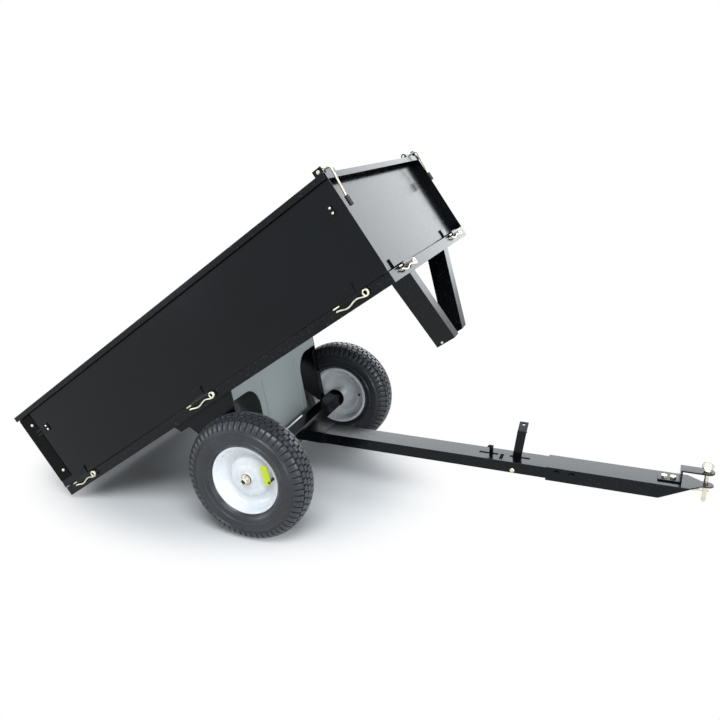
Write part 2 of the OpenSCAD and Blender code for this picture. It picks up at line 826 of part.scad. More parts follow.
// Channel on the inside of a side wall in which the tailgate slides
module tailgate_guide_at(side) {
    face = -sheet;
    top = lip_bottom - 2 * sheet;
    inner = guide_outer + guide_wall + guide_slot;
    color(gloss_black) tub_place() difference() {
        at_side(side) {
            block([guide_outer, face - guide_base, guide_bottom], [guide_length, face, top]);
            for (u = [guide_outer, inner])
                block([u, face - guide_base - guide_depth, guide_bottom], [u + guide_wall, face, top]);
        }
        strip_bolt_holes(side);
    }
}

module tailgate_guide_left() { tailgate_guide_at(1); }
module tailgate_guide_right() { tailgate_guide_at(-1); }

module strip_bolts_at(side) {
    inner = -sheet - guide_base;
    color(zinc) tub_place() at_side(side)
        for (w = strip_bolt_heights) {
            rod_y(strip_bolt_u, w, inner - 6, sheet, strip_bolt_radius);
            rod_y(strip_bolt_u, w, sheet, sheet + 3, strip_bolt_head);
            rod_y(strip_bolt_u, w, inner - 5, inner, strip_bolt_head, 6);
        }
}

module strip_bolts_left() { strip_bolts_at(1); }
module strip_bolts_right() { strip_bolts_at(-1); }

// Keeper plates near the ends of a side wall, the rear one with two bars over the end strip
module keepers_at(side) {
    color(gloss_black) tub_place() at_side(side) {
        for (k = [keeper_rear, keeper_front])
            block([k[0] - k[2] / 2, 0, k[1] - k[3] / 2], [k[0] + k[2] / 2, keeper_thick, k[1] + k[3] / 2]);
        for (w = keeper_bars)
            block([strip_width - 14, sheet, w - keeper_bar_height / 2],
                [keeper_rear[0], keeper_thick + sheet, w + keeper_bar_height / 2]);
    }
}

module keepers_left() { keepers_at(1); }
module keepers_right() { keepers_at(-1); }

module keeper_rivets_at(side) {
    color(zinc) tub_place() at_side(side)
        for (k = [keeper_rear, keeper_front], up = [-1, 1])
            rod_y(k[0] + k[2] / 4, k[1] + up * k[3] / 4, keeper_thick, keeper_thick + rivet_height,
                rivet_radius);
}

module keeper_rivets_left() { keeper_rivets_at(1); }
module keeper_rivets_right() { keeper_rivets_at(-1); }

// Front wall, between the side walls, with hinge straps that reach over the pan's ledge
module front_panel() {
    color(gloss_black) tub_place() difference() {
        union() {
            translate([0, front_half, 0]) rotate([90, 0, 0]) linear_extrude(2 * front_half)
                polygon([[front_face - sheet, wall_bottom], [front_face, wall_bottom],
                    [front_face, wall_top - sheet], [front_face + front_lip - sheet, wall_top - sheet],
                    [front_face + front_lip - sheet, lip_bottom], [front_face + front_lip, lip_bottom],
                    [front_face + front_lip, wall_top], [front_face - sheet, wall_top]]);
            at_front_hinges() wall_knuckle(front_recess, sheet / 2);
        }
        at_front_hinges() wall_knuckle_bore();
    }
}

module bolt_barrel_at(side) {
    inner = barrel_end - barrel_length;
    color(gloss_black) tub_place() mirror([0, side < 0 ? 1 : 0, 0]) difference() {
        union() {
            rod_y(corner_bolt_u, corner_bolt_w, inner, barrel_end, barrel_radius);
            block([corner_bolt_u - barrel_radius, inner, wall_top],
                [corner_bolt_u + barrel_radius, barrel_end, corner_bolt_w]);
        }
        rod_y(corner_bolt_u, corner_bolt_w, inner - past, barrel_end + past,
            corner_bolt_radius + running);
    }
}

module bolt_barrel_left() { bolt_barrel_at(1); }
module bolt_barrel_right() { bolt_barrel_at(-1); }

module corner_bolt_at(side) {
    color(zinc) tub_place() mirror([0, side < 0 ? 1 : 0, 0]) {
        inner = barrel_end - barrel_length - collar_half;
        rod_y(corner_bolt_u, corner_bolt_w, inner, bolt_tip, corner_bolt_radius);
        rod_y(corner_bolt_u, corner_bolt_w, handle_y - collar_half, handle_y + collar_half, collar_size);
    }
}

module corner_bolt_left() { corner_bolt_at(1); }
module corner_bolt_right() { corner_bolt_at(-1); }

// Bent wire handle: forward over the lip and down in front of it to the grip, which rests near the lip
handle_bend = 9;
handle_route = concat(
    [[corner_bolt_u + collar_size - 1, corner_bolt_w]],
    [for (i = [0:4])
        let (a = 90 - 90 * i / 4)
            [tub_length + handle_out - handle_bend + handle_bend * cos(a),
                corner_bolt_w - handle_bend + handle_bend * sin(a)]],
    [[tub_length + handle_in, corner_bolt_w - handle_drop + grip_length],
        [tub_length + handle_in, corner_bolt_w - handle_drop]]
);

module bolt_handle_at(side) {
    color(zinc) tub_place() translate([0, side * handle_y, 0])
        tube(wire_rings(handle_route, handle_wire, 6));
}

module bolt_handle_left() { bolt_handle_at(1); }
module bolt_handle_right() { bolt_handle_at(-1); }

module bolt_grip_at(side) {
    color(rubber_black) tub_place()
        translate([tub_length + handle_in, side * handle_y, corner_bolt_w - handle_drop - 3]) difference() {
            cylinder(r = grip_radius, h = grip_length);
            translate([0, 0, 3 - running]) cylinder(r = handle_wire + running, h = grip_length);
        }
}

module bolt_grip_left() { bolt_grip_at(1); }
module bolt_grip_right() { bolt_grip_at(-1); }

// Tailgate that lifts out of its guides, with a lip to lift it by
module tailgate() {
    tailgate_lip = tailgate_u;
    color(gloss_black) tub_place()
        translate([0, tailgate_half, 0]) rotate([90, 0, 0]) linear_extrude(2 * tailgate_half)
            polygon([[tailgate_u, skirt_height + seat], [tailgate_u + sheet, skirt_height + seat],
                [tailgate_u + sheet, wall_top], [tailgate_u - tailgate_lip, wall_top],
                [tailgate_u - tailgate_lip, lip_bottom], [tailgate_u - tailgate_lip + sheet, lip_bottom],
                [tailgate_u - tailgate_lip + sheet, wall_top - sheet], [tailgate_u, wall_top - sheet]]);
}

// Wheels, drawn about the Z axis with their outer face up
rim_wall = 3;
rim_half = tyre_width * 0.36;
rim_barrel = rim_radius - 8;
hub_radius = 17;
bush_wall = 3;
bush_flange = 3;
hub_bore = axle_radius + running + bush_wall;
valve_radius = 3;
valve_place = 74;
valve_length = 26;

module wheel_place(side) {
    translate([axle_x, side * track / 2, wheel_radius]) rotate([-90 * side, 0, 0]) children();
}

// Section of the tyre: a rounded square round the middle of its wall, drawn in by a depth
function tyre_point(a, depth) =
    let (mid = (wheel_radius + rim_barrel) / 2, tall = (wheel_radius - rim_barrel) / 2, square_off = 0.72)
        [mid + (tall - depth) * sign(cos(a)) * pow(abs(cos(a)), square_off),
            (tyre_width / 2 - depth) * sign(sin(a)) * pow(abs(sin(a)), square_off)];

module tyre_at(side) {
    color(rubber_black) wheel_place(side) difference() {
        rotate_extrude() polygon([for (i = [0:35]) tyre_point(10 * i, 0)]);
        rotate_extrude() polygon([for (i = [0:35]) tyre_point(10 * i, tyre_wall)]);
        cylinder(r = rim_barrel, h = 2 * tyre_width, center = true);
        for (up = [0, 1]) mirror([0, 0, up]) translate([0, 0, rim_half - rim_wall])
            cylinder(r = rim_radius, h = tyre_width);
    }
}

module tyre_left() { tyre_at(1); }
module tyre_right() { tyre_at(-1); }

// Section of the rim: flanged barrel with a dished disc
module rim_section() {
    dish = 12;
    ring = rim_barrel * 0.72;
    well = rim_barrel * 0.42;
    polygon([[rim_barrel - rim_wall, -rim_half], [rim_radius, -rim_half],
        [rim_radius, rim_wall - rim_half], [rim_barrel, rim_wall - rim_half],
        [rim_barrel, rim_half - rim_wall], [rim_radius, rim_half - rim_wall], [rim_radius, rim_half],
        [rim_barrel - rim_wall, rim_half], [rim_barrel - rim_wall, 0], [ring, -4],
        [well, dish], [hub_radius + running, dish], [hub_radius + running, dish - rim_wall],
        [well - 2, dish - rim_wall], [ring - 2, -4 - rim_wall], [rim_barrel - rim_wall, -rim_wall - 1]]);
}

module rim_at(side) {
    color(white_paint) wheel_place(side) difference() {
        rotate_extrude() rim_section();
        translate([valve_place, 0, -tyre_width / 2]) cylinder(r = valve_radius + running, h = tyre_width);
    }
}

module rim_left() { rim_at(1); }
module rim_right() { rim_at(-1); }

module hub_at(side) {
    low = bush_flange - hub_back;
    long = hub_reach - bush_flange - low;
    color(white_paint) wheel_place(side) difference() {
        translate([0, 0, low]) cylinder(r = hub_radius, h = long);
        translate([0, 0, low - past]) cylinder(r = hub_bore, h = long + 2 * past);
    }
}

module hub_left() { hub_at(1); }
module hub_right() { hub_at(-1); }

// One end of the hub's bushing, with its flange's face at a reach from the wheel's middle plane
module bush_end(reach) {
    bush_length = 24;
    difference() {
        union() {
            translate([0, 0, reach - bush_length]) cylinder(r = hub_bore, h = bush_length);
            translate([0, 0, reach - bush_flange]) cylinder(r = hub_radius, h = bush_flange);
        }
        translate([0, 0, reach - bush_length - past])
            cylinder(r = axle_radius + running, h = bush_length + 2 * past);
    }
}

module bush_at(side) {
    color(rubber_black) wheel_place(side) {
        bush_end(hub_reach);
        mirror([0, 0, 1]) bush_end(hub_back);
    }
}

module bush_left() { bush_at(1); }
module bush_right() { bush_at(-1); }

module valve_at(side) {
    root = -8;
    color(rubber_black) wheel_place(side) translate([valve_place, 0, 0]) {
        translate([0, 0, root]) cylinder(r = valve_radius, h = valve_length);
        translate([0, 0, root + valve_length]) cylinder(r = valve_radius - 0.5, h = 6);
    }
}

module valve_left() { valve_at(1); }
module valve_right() { valve_at(-1); }

axle_shaft();
axle_beam();
axle_washers();
axle_pins();
drawbar_socket();
drawbar_rear();
drawbar_front();
drawbar_bolts();
hitch_strap();
hitch_bolts();
latch_pivot_bolt();
latch_spring();
floor_pan();
bracket_left();
bracket_right();
saddle_plates();
leg_left();
leg_right();
latch_pin();
hinge_lugs_left();
hinge_lugs_right();
hinge_lugs_front();
hinge_clips_left();
hinge_clips_right();
hinge_clips_front();
side_panel_left();
side_panel_right();
end_strip_left();
end_strip_right();
tailgate_guide_left();
tailgate_guide_right();
strip_bolts_left();
strip_bolts_right();
keepers_left();
keepers_right();
keeper_rivets_left();
keeper_rivets_right();
front_panel();
bolt_barrel_left();
bolt_barrel_right();
tailgate();
corner_bolt_left();
corner_bolt_right();
bolt_handle_left();
bolt_handle_right();
bolt_grip_left();
bolt_grip_right();
latch_lever();
hitch_pin();
hitch_clip();
tyre_left();
tyre_right();
rim_left();
rim_right();
hub_left();
hub_right();
bush_left();
bush_right();
valve_left();
valve_right();
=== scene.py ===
# Looks of the tipping dump cart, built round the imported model.
# Shapes are drawn in millimetres of the tub, the cart or a wheel, and placed in metres.
import json
import math

import bmesh
import bpy
from mathutils import Matrix, Vector


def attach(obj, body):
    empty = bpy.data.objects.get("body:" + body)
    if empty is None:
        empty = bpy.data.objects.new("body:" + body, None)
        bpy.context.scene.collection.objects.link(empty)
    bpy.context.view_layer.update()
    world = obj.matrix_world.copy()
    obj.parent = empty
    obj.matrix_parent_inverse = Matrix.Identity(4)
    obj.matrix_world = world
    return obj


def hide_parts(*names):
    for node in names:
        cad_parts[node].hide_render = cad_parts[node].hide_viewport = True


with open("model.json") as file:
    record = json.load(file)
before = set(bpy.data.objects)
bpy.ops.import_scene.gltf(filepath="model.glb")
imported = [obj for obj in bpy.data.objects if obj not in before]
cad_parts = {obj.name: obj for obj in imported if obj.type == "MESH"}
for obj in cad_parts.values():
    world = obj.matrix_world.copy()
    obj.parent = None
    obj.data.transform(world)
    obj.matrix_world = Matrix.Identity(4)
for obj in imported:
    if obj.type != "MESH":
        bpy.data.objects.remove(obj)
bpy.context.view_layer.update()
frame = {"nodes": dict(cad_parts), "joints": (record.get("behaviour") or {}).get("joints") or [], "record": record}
NODES = frame["nodes"]
RECORD = frame["record"]
BODY_OF = {n: b for b, names in RECORD["behaviour"]["bodies"].items() for n in names}
SLOT_OF = {p["node"]: p["material_slot"] for p in RECORD["subparts"]}
JOINTS = {j["name"]: j for j in frame["joints"]}

# Frames: the tub's starts at the tail end of its floor, the cart's on the ground below the axle
MM = 0.001
SCALE = Matrix.Scale(MM, 4)
AXLE = Vector(JOINTS["tub_tip"]["pos_m"])
TIP = math.radians(-JOINTS["tub_tip"]["range_deg"][0])
TRACK = 727.0
AXLE_FROM_TAIL = 666.0
AXLE_BELOW = 246.0
TUB = (
    Matrix.Translation(AXLE)
    @ Matrix.Rotation(-TIP, 4, "Y")
    @ SCALE
    @ Matrix.Translation((-AXLE_FROM_TAIL, 0, AXLE_BELOW))
)
CART = Matrix.Translation((AXLE.x, 0, 0)) @ SCALE
SIDES = {"left": 1, "right": -1}
# Lays what is turned about Z along Y
ALONG_Y = Matrix.Rotation(math.radians(-90), 4, "X")


def wheel_place(side):
    """Frame of a wheel: its axis is Z, with the outer face up."""
    middle = Matrix.Translation((AXLE.x, side * TRACK / 2 * MM, AXLE.z))
    return middle @ Matrix.Rotation(math.radians(-90 * side), 4, "X") @ SCALE


def mirrored(side):
    """Mirror across the middle of the cart for the right side."""
    return Matrix.Diagonal((1, side, 1, 1))


# Materials
class Nodes:
    """Short way to write a material's nodes."""

    def __init__(self, name):
        self.material = bpy.data.materials.new(name)
        self.material.use_nodes = True
        self.tree = self.material.node_tree
        self.shader = self.tree.nodes["Principled BSDF"]

    def new(self, kind, **values):
        node = self.tree.nodes.new(kind)
        for key, value in values.items():
            setattr(node, key, value)
        return node

    def link(self, out, into):
        self.tree.links.new(out, into)

    def feed(self, socket, out):
        """Links a node's output to one of the shader's sockets."""
        self.link(out, self.shader.inputs[socket])

    def noise(self, scale, detail=3.0, rough=0.5):
        node = self.new("ShaderNodeTexNoise")
        node.inputs["Scale"].default_value = scale
        node.inputs["Detail"].default_value = detail
        node.inputs["Roughness"].default_value = rough
        self.link(self.new("ShaderNodeTexCoord").outputs["Object"], node.inputs["Vector"])
        return node.outputs["Fac"]

    def ramp(self, value, stops):
        node = self.new("ShaderNodeValToRGB")
        ramp = node.color_ramp
        while len(ramp.elements) < len(stops):
            ramp.elements.new(0.5)
        for element, (at, colour) in zip(ramp.elements, stops):
            element.position = at
            element.color = (*colour, 1)
        self.link(value, node.inputs["Fac"])
        return node.outputs["Color"]

    def remap(self, value, low, high, source=(0.3, 0.7)):
        node = self.new("ShaderNodeMapRange")
        node.inputs["From Min"].default_value = source[0]
        node.inputs["From Max"].default_value = source[1]
        node.inputs["To Min"].default_value = low
        node.inputs["To Max"].default_value = high
        self.link(value, node.inputs["Value"])
        return node.outputs["Result"]

    def mix(self, factor, under, over):
        """Colour that goes from a node's output to a plain colour."""
        node = self.new("ShaderNodeMix", data_type="RGBA")
        self.link(factor, node.inputs["Factor"])
        self.link(under, node.inputs[6])
        node.inputs[7].default_value = (*over, 1)
        return node.outputs[2]

    def bump(self, height, strength, distance):
        node = self.new("ShaderNodeBump")
        node.inputs["Strength"].default_value = strength
        node.inputs["Distance"].default_value = distance
        self.link(height, node.inputs["Height"])
        self.feed("Normal", node.outputs["Normal"])

    def edges(self, low, high):
        """Grows from 0 to 1 on outward edges."""
        return self.remap(self.new("ShaderNodeNewGeometry").outputs["Pointiness"], 0, 1, (low, high))


def make_paint(name, dark, light, worn, rough, orange_peel, sockets):
    """Powder coat: soft colour variation, handling marks in the gloss and worn edges."""
    m = Nodes(name)
    colour = m.ramp(m.noise(scale=4.0, detail=4.0), [(0.35, dark), (0.68, light)])
    marks = m.noise(scale=55.0, detail=5.0, rough=0.6)
    scuffs = m.remap(m.noise(scale=140.0, detail=2.0), 0, 1, (0.6, 0.72))
    edge = m.new("ShaderNodeMath", operation="MULTIPLY")
    m.link(m.edges(0.53, 0.62), edge.inputs[0])
    m.link(scuffs, edge.inputs[1])
    m.feed("Base Color", m.mix(edge.outputs[0], colour, worn))
    m.feed("Roughness", m.remap(marks, *rough))
    m.bump(m.noise(scale=520.0, detail=2.0), orange_peel, distance=0.0004)
    for socket, value in sockets.items():
        m.shader.inputs[socket].default_value = value
    return m.material


def make_rubber(name, dark, light, rough, grain, depth):
    """Rubber or plastic with a fine grain, and paler towards its outward edges."""
    m = Nodes(name)
    colour = m.ramp(m.noise(scale=14.0, detail=5.0, rough=0.6), [(0.35, dark), (0.7, light)])
    paler_edge_colour = tuple(1.5 * c for c in light)
    m.feed("Base Color", m.mix(m.edges(0.5, 0.6), colour, paler_edge_colour))
    m.feed("Roughness", m.remap(m.noise(scale=70.0, detail=4.0), *rough))
    m.bump(m.noise(scale=grain, detail=3.0, rough=0.6), depth, distance=0.0006)
    return m.material


def make_zinc():
    """Yellow-passivated zinc in patches."""
    m = Nodes("zinc_plate")
    stops = [(0.3, (0.62, 0.6, 0.5)), (0.5, (0.78, 0.75, 0.62)), (0.72, (0.86, 0.82, 0.6))]
    m.feed("Base Color", m.ramp(m.noise(scale=90.0, detail=4.0, rough=0.6), stops))
    m.shader.inputs["Metallic"].default_value = 1.0
    m.feed("Roughness", m.remap(m.noise(scale=260.0, detail=3.0), 0.22, 0.42))
    m.bump(m.noise(scale=900.0, detail=2.0), 0.12, distance=0.0003)
    return m.material


def make_tag():
    """Bare yellow tag."""
    m = Nodes("tag_yellow")
    stops = [(0.3, (0.6, 0.72, 0.02)), (0.7, (0.68, 0.8, 0.05))]
    m.feed("Base Color", m.ramp(m.noise(scale=60.0, detail=4.0), stops))
    m.feed("Roughness", m.remap(m.noise(scale=200.0), 0.5, 0.7))
    m.bump(m.noise(scale=700.0, detail=4.0), 0.15, distance=0.0003)
    return m.material


PAINTS = {
    "black_gloss": {
        "dark": (0.0014, 0.0017, 0.0023), "light": (0.0026, 0.003, 0.0038), "worn": (0.04, 0.04, 0.043),
        "rough": (0.16, 0.23), "orange_peel": 0.05,
        "sockets": {"Specular IOR Level": 0.24, "Specular Tint": (0.86, 0.94, 1.0, 1)},
    },
    "black_satin": {
        "dark": (0.002, 0.002, 0.0024), "light": (0.0035, 0.0035, 0.004), "worn": (0.03, 0.03, 0.032),
        "rough": (0.4, 0.5), "orange_peel": 0.08, "sockets": {"Specular IOR Level": 0.06},
    },
    "grey_paint": {
        "dark": (0.33, 0.37, 0.37), "light": (0.385, 0.43, 0.43), "worn": (0.3, 0.32, 0.32),
        "rough": (0.4, 0.52), "orange_peel": 0.06, "sockets": {},
    },
    "white_enamel": {
        "dark": (0.76, 0.785, 0.82), "light": (0.83, 0.845, 0.865), "worn": (0.5, 0.5, 0.5),
        "rough": (0.2, 0.32), "orange_peel": 0.04, "sockets": {"Coat Weight": 0.3, "Coat Roughness": 0.1},
    },
}
RUBBERS = {
    "tyre_rubber": {
        "dark": (0.014, 0.016, 0.02), "light": (0.027, 0.031, 0.037), "rough": (0.26, 0.38),
        "grain": 420.0, "depth": 0.25,
    },
    # Painted shade: darker rubber for the band under the tread blocks, where the grooves lie in shade
    "tyre_groove_painted_shade": {
        "dark": (0.004, 0.004, 0.005), "light": (0.007, 0.007, 0.008), "rough": (0.6, 0.75),
        "grain": 420.0, "depth": 0.2,
    },
    "black_rubber": {
        "dark": (0.012, 0.012, 0.013), "light": (0.02, 0.02, 0.021), "rough": (0.38, 0.55),
        "grain": 600.0, "depth": 0.15,
    },
    "bush_nylon": {
        "dark": (0.035, 0.034, 0.03), "light": (0.05, 0.05, 0.045), "rough": (0.45, 0.6),
        "grain": 500.0, "depth": 0.1,
    },
}
MATERIALS = {name: make_paint(name, **look) for name, look in PAINTS.items()}
MATERIALS.update({name: make_rubber(name, **look) for name, look in RUBBERS.items()})
MATERIALS["zinc_plate"] = make_zinc()
MATERIALS["tag"] = make_tag()


# Shapes
def angles(count, extra=0):
    """Angles of a circle in equal steps; extra goes on past the full turn."""
    return [2 * math.pi * k / count for k in range(count + extra)]


class Shape:
    """Vertices and faces of a piece, in millimetres of its own frame."""

    # Hexagons: points round them, shares of the flats' radius where the top face and its crown
    # start, slope of the chamfer, and the crown's height as a share of the head's
    HEX_POINTS = 24
    HEX_FACE = 0.93
    HEX_MIDDLE = 0.4
    HEX_CHAMFER = 0.55
    HEX_CROWN = 1.03
    # Threads: shares of the radius at the root and at the tip
    THREAD_ROOT = 0.87
    THREAD_TIP = 0.75
    # Rounded ends of a wire: how far out and how thick, in shares of its radius
    WIRE_END = [(0.0, 1.0), (0.7, 0.7), (0.95, 0.3)]
    # Turn of a weld bead's ripple from one point to the next, in radians
    RIPPLE_TURN = 2.1

    def __init__(self):
        self.verts = []
        self.faces = []

    def add(self, verts, faces):
        base = len(self.verts)
        self.verts.extend(Vector(v) for v in verts)
        self.faces.extend([base + i for i in face] for face in faces)

    def skin(self, rings, closed=False, caps=True):
        """Skin through rings of points; closed joins the last ring to the first."""
        n = len(rings[0])
        faces = []
        for i in range(len(rings) if closed else len(rings) - 1):
            a = i * n
            b = (i + 1) % len(rings) * n
            faces.extend([a + k, a + (k + 1) % n, b + (k + 1) % n, b + k] for k in range(n))
        if caps and not closed:
            faces.append(list(range(n))[::-1])
            faces.append([(len(rings) - 1) * n + k for k in range(n)])
        self.add([p for ring in rings for p in ring], faces)

    def lathe(self, profile, place=Matrix.Identity(4), sides=64, closed=False):
        """Turns a profile of (radius, height) about Z."""
        rings = []
        for r, h in profile:
            rings.append([place @ Vector((r * math.cos(t), r * math.sin(t), h)) for t in angles(sides)])
        self.skin(rings, closed, caps=not closed)

    def sweep(self, points, radius, sides=12, ripple=0.0):
        """Round wire along points, with rounded ends; ripple swells it as a weld bead."""
        points = [Vector(p) for p in points]
        last = len(points) - 1
        aims = []
        for i in range(last + 1):
            aims.append((points[min(i + 1, last)] - points[max(i - 1, 0)]).normalized())
        across = aims[0].orthogonal().normalized()
        rings = []
        for i, (p, aim) in enumerate(zip(points, aims)):
            across = (across - aim * across.dot(aim)).normalized()
            up = aim.cross(across)
            r = radius * (1 + ripple * math.sin(self.RIPPLE_TURN * i))
            stations = self.WIRE_END[:1]
            if i == 0:
                stations = [(-shift, share) for shift, share in reversed(self.WIRE_END)]
            if i == last:
                stations = self.WIRE_END
            for shift, share in stations:
                middle = p + aim * r * shift
                ring = [across * math.cos(t) + up * math.sin(t) for t in angles(sides)]
                rings.append([middle + out * r * share for out in ring])
        self.skin(rings)

    def hexagon(self, place, across, thick):
        """Hexagon head or nut with chamfered corners, standing on Z = 0."""
        flat = across / 2
        foot, shoulder, face, crown = [], [], [], []
        for t in angles(self.HEX_POINTS):
            corner = flat / math.cos((t + math.pi / 6) % (math.pi / 3) - math.pi / 6)
            chamfer = thick - (corner - self.HEX_FACE * flat) * self.HEX_CHAMFER
            levels = (
                (foot, corner, 0.0),
                (shoulder, corner, chamfer),
                (face, flat * self.HEX_FACE, thick),
                (crown, flat * self.HEX_MIDDLE, thick * self.HEX_CROWN),
            )
            for ring, r, h in levels:
                ring.append(place @ Vector((r * math.cos(t), r * math.sin(t), h)))
        self.skin([foot, shoulder, face, crown])

    def thread(self, place, radius, start, end, pitch=1.5):
        """Threaded end of a bolt."""
        turns = max(2, int(abs(end - start) / pitch))
        step = (end - start) / turns
        profile = [(0.0, start), (radius, start)]
        for i in range(turns):
            profile.append((radius * self.THREAD_ROOT, start + step * (i + 0.5)))
            profile.append((radius, start + step * (i + 1)))
        tip = end + step / 4
        profile.extend([(radius * self.THREAD_TIP, tip), (0.0, tip)])
        self.lathe(profile, place, sides=20)


def smooth(points, steps):
    """Points of a smooth curve through the given ones."""
    points = [Vector(p) for p in points]
    ends = [2 * points[0] - points[1], *points, 2 * points[-1] - points[-2]]
    curve = []
    for i in range(1, len(ends) - 2):
        a, b, c, d = ends[i - 1 : i + 3]
        for k in range(steps):
            t = k / steps
            bend = (2 * a - 5 * b + 4 * c - d) * t * t + (3 * b - a - 3 * c + d) * t**3
            curve.append(0.5 * (2 * b + (c - a) * t + bend))
    return [*curve, points[-1]]


def look_to(start, direction):
    """Frame at a point with Z along a direction."""
    turn = Vector(direction).to_track_quat("Z", "Y").to_matrix().to_4x4()
    return Matrix.Translation(Vector(start)) @ turn


# Pieces: distances in metres within which points are joined, and angles in degrees
JOIN_WITHIN = 1e-6
SLIVER = 1e-7
CAD_JOIN_WITHIN = 2e-5
CAD_FLAT_ANGLE = 1.0
CAD_ROUND_ANGLE = 33
CAD_CRISP_ANGLE = 50


def rounded(bm, width, angle):
    """Rounds the edges that are sharper than an angle in degrees."""
    sharp = []
    for edge in bm.edges:
        if len(edge.link_faces) == 2 and edge.calc_face_angle(0.0) > math.radians(angle):
            sharp.append(edge)
    bmesh.ops.bevel(
        bm, geom=sharp, offset=width, offset_type="OFFSET", segments=2, profile=0.5,
        affect="EDGES", clamp_overlap=False,
    )


def stand(name, bm, slot, body, nodes, sharp):
    """Makes a piece of a finished mesh, which rides on a body and stands for CAD nodes."""
    mesh = bpy.data.meshes.new(name)
    bm.to_mesh(mesh)
    bm.free()
    mesh.polygons.foreach_set("use_smooth", [True] * len(mesh.polygons))
    mesh.set_sharp_from_angle(angle=math.radians(sharp))
    piece = bpy.data.objects.new(name, mesh)
    bpy.context.scene.collection.objects.link(piece)
    mesh.materials.append(MATERIALS[slot])
    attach(piece, body)
    if nodes:
        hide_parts(*nodes)
    return piece


def build(name, shape, place, slot, body, nodes=(), sharp=38.0):
    """Piece from a shape drawn in the frame place; edges over sharp degrees stay crisp."""
    bm = bmesh.new()
    verts = [bm.verts.new(place @ v) for v in shape.verts]
    for face in shape.faces:
        bm.faces.new([verts[i] for i in face])
    bmesh.ops.remove_doubles(bm, verts=bm.verts, dist=JOIN_WITHIN)
    bmesh.ops.dissolve_degenerate(bm, edges=bm.edges, dist=SLIVER)
    bmesh.ops.recalc_face_normals(bm, faces=bm.faces)
    stand(name, bm, slot, body, nodes, sharp)


def dress(node, bevel):
    """Rounded copy of a CAD node, in the node's own place."""
    bm = bmesh.new()
    bm.from_mesh(NODES[node].data)
    bmesh.ops.remove_doubles(bm, verts=bm.verts, dist=CAD_JOIN_WITHIN)
    limit = math.radians(CAD_FLAT_ANGLE)
    bmesh.ops.dissolve_limit(bm, angle_limit=limit, verts=bm.verts, edges=bm.edges)
    rounded(bm, bevel * MM, CAD_ROUND_ANGLE)
    piece = stand("looks_" + node, bm, SLOT_OF[node], BODY_OF[node], [node], CAD_CRISP_ANGLE)
    piece.modifiers.new("weighted", "WEIGHTED_NORMAL")


# Painted steel: the CAD solids with their edges rounded by so many millimetres
MIDDLE_BEVELS = {
    "axle_beam": 2.5, "drawbar_socket": 0.9, "drawbar_rear": 1.1, "drawbar_front": 1.1,
    "hitch_strap": 1.2, "latch_lever": 1.2, "saddle_plates": 0.9, "floor_pan": 0.7,
    "hinge_lugs_front": 0.7, "front_panel": 0.6, "tailgate": 0.6,
}
SIDE_BEVELS = {
    "bracket": 1.0, "leg": 1.0, "hinge_lugs": 0.7, "side_panel": 0.6, "end_strip": 0.6,
    "tailgate_guide": 0.5, "keepers": 0.7, "bolt_barrel": 0.8,
}
for node, bevel in MIDDLE_BEVELS.items():
    dress(node, bevel)
for word in SIDES:
    for node, bevel in SIDE_BEVELS.items():
        dress(f"{node}_{word}", bevel)

# Tyres: the casing's section is a rounded square about TYRE_MID, less the tread's depth
TYRE_RADIUS = 200.0
TYRE_HALF = 52.0
TYRE_MID = 151.0
TYRE_TALL = 49.0
SQUARE_OFF = 0.72
TREAD_DEEP = 5.4
SKIN_DEEP = 0.8
TREAD_FADE = 0.8
CASING_STEP = 2
CASING_POINTS = 71
TYRE_SIDES = 144
TYRE_INSIDE = [
    (110.6, 36.0), (104.0, 35.0), (103.0, 30.0), (112.0, 28.0), (130.0, 38.0), (160.0, 42.0),
    (180.0, 34.0), (185.0, 0.0),
]
# Moulded lines round the sidewall: radius and height
SIDEWALL_LINES = {163.5: 0.9, 160.0: 0.9, 136.0: 0.8, 133.0: 0.8, 119.0: 1.2}
LINE_HALF = 0.9
# Painted shade: a dark band under the tread blocks, standing in for the shade deep in the grooves between them
GROOVE_HALF = 58
GROOVE_STEP = 2
GROOVE_OVER = 0.2
GROOVE_UNDER = -1.0
# Blocks of one pitch on one side: start, corners (shares of a pitch round, millimetres across),
# lean of the outer corners, height at the inner and outer end, and steps across
TREAD_PITCHES = 58
TREAD_STAGGER = 0.5
PITCH = 2 * math.pi * TYRE_RADIUS / TREAD_PITCHES
TREAD_BLOCKS = (
    (0.0, ((0, 32), (0.8, 32), (0.82, 61), (0.04, 61)), 0, (5.6, 1.6), 5),
    (0.34, ((0, 18), (0.72, 16.5), (0.76, 29.5), (0.02, 30.5)), 0.12, (6.0, 5.8), 2),
    (0.34, ((0.72, 20), (0.93, 20), (0.94, 25), (0.74, 25)), 0, (5.4, 5.4), 1),
    (0.02, ((0, 1.6), (0.76, 0.9), (0.8, 14.2), (0.04, 15.6)), 0, (6.2, 6.1), 2),
)
# Sections of a block: how far they are drawn in, and their share of its height
BLOCK_FOOT = (0.0, -0.25)
BLOCK_WALL = (0.02, 0.9)
BLOCK_TOP = (0.055, 1.0)
BLOCK_COLUMNS = 2


def casing_point(angle):
    """Point of the casing's section, a rounded square that leaves room for the tread."""
    c, s = math.cos(angle), math.sin(angle)
    deep = SKIN_DEEP + TREAD_DEEP * max(0, c) ** TREAD_FADE
    r = TYRE_MID + (TYRE_TALL - deep) * math.copysign(abs(c) ** SQUARE_OFF, c)
    return Vector((r, (TYRE_HALF - deep) * s**SQUARE_OFF, 0))


CASING = [casing_point(math.radians(CASING_STEP * i)) for i in range(CASING_POINTS)]
ALONG = [0.0]
for a, b in zip(CASING, CASING[1:]):
    ALONG.append(ALONG[-1] + (b - a).length)


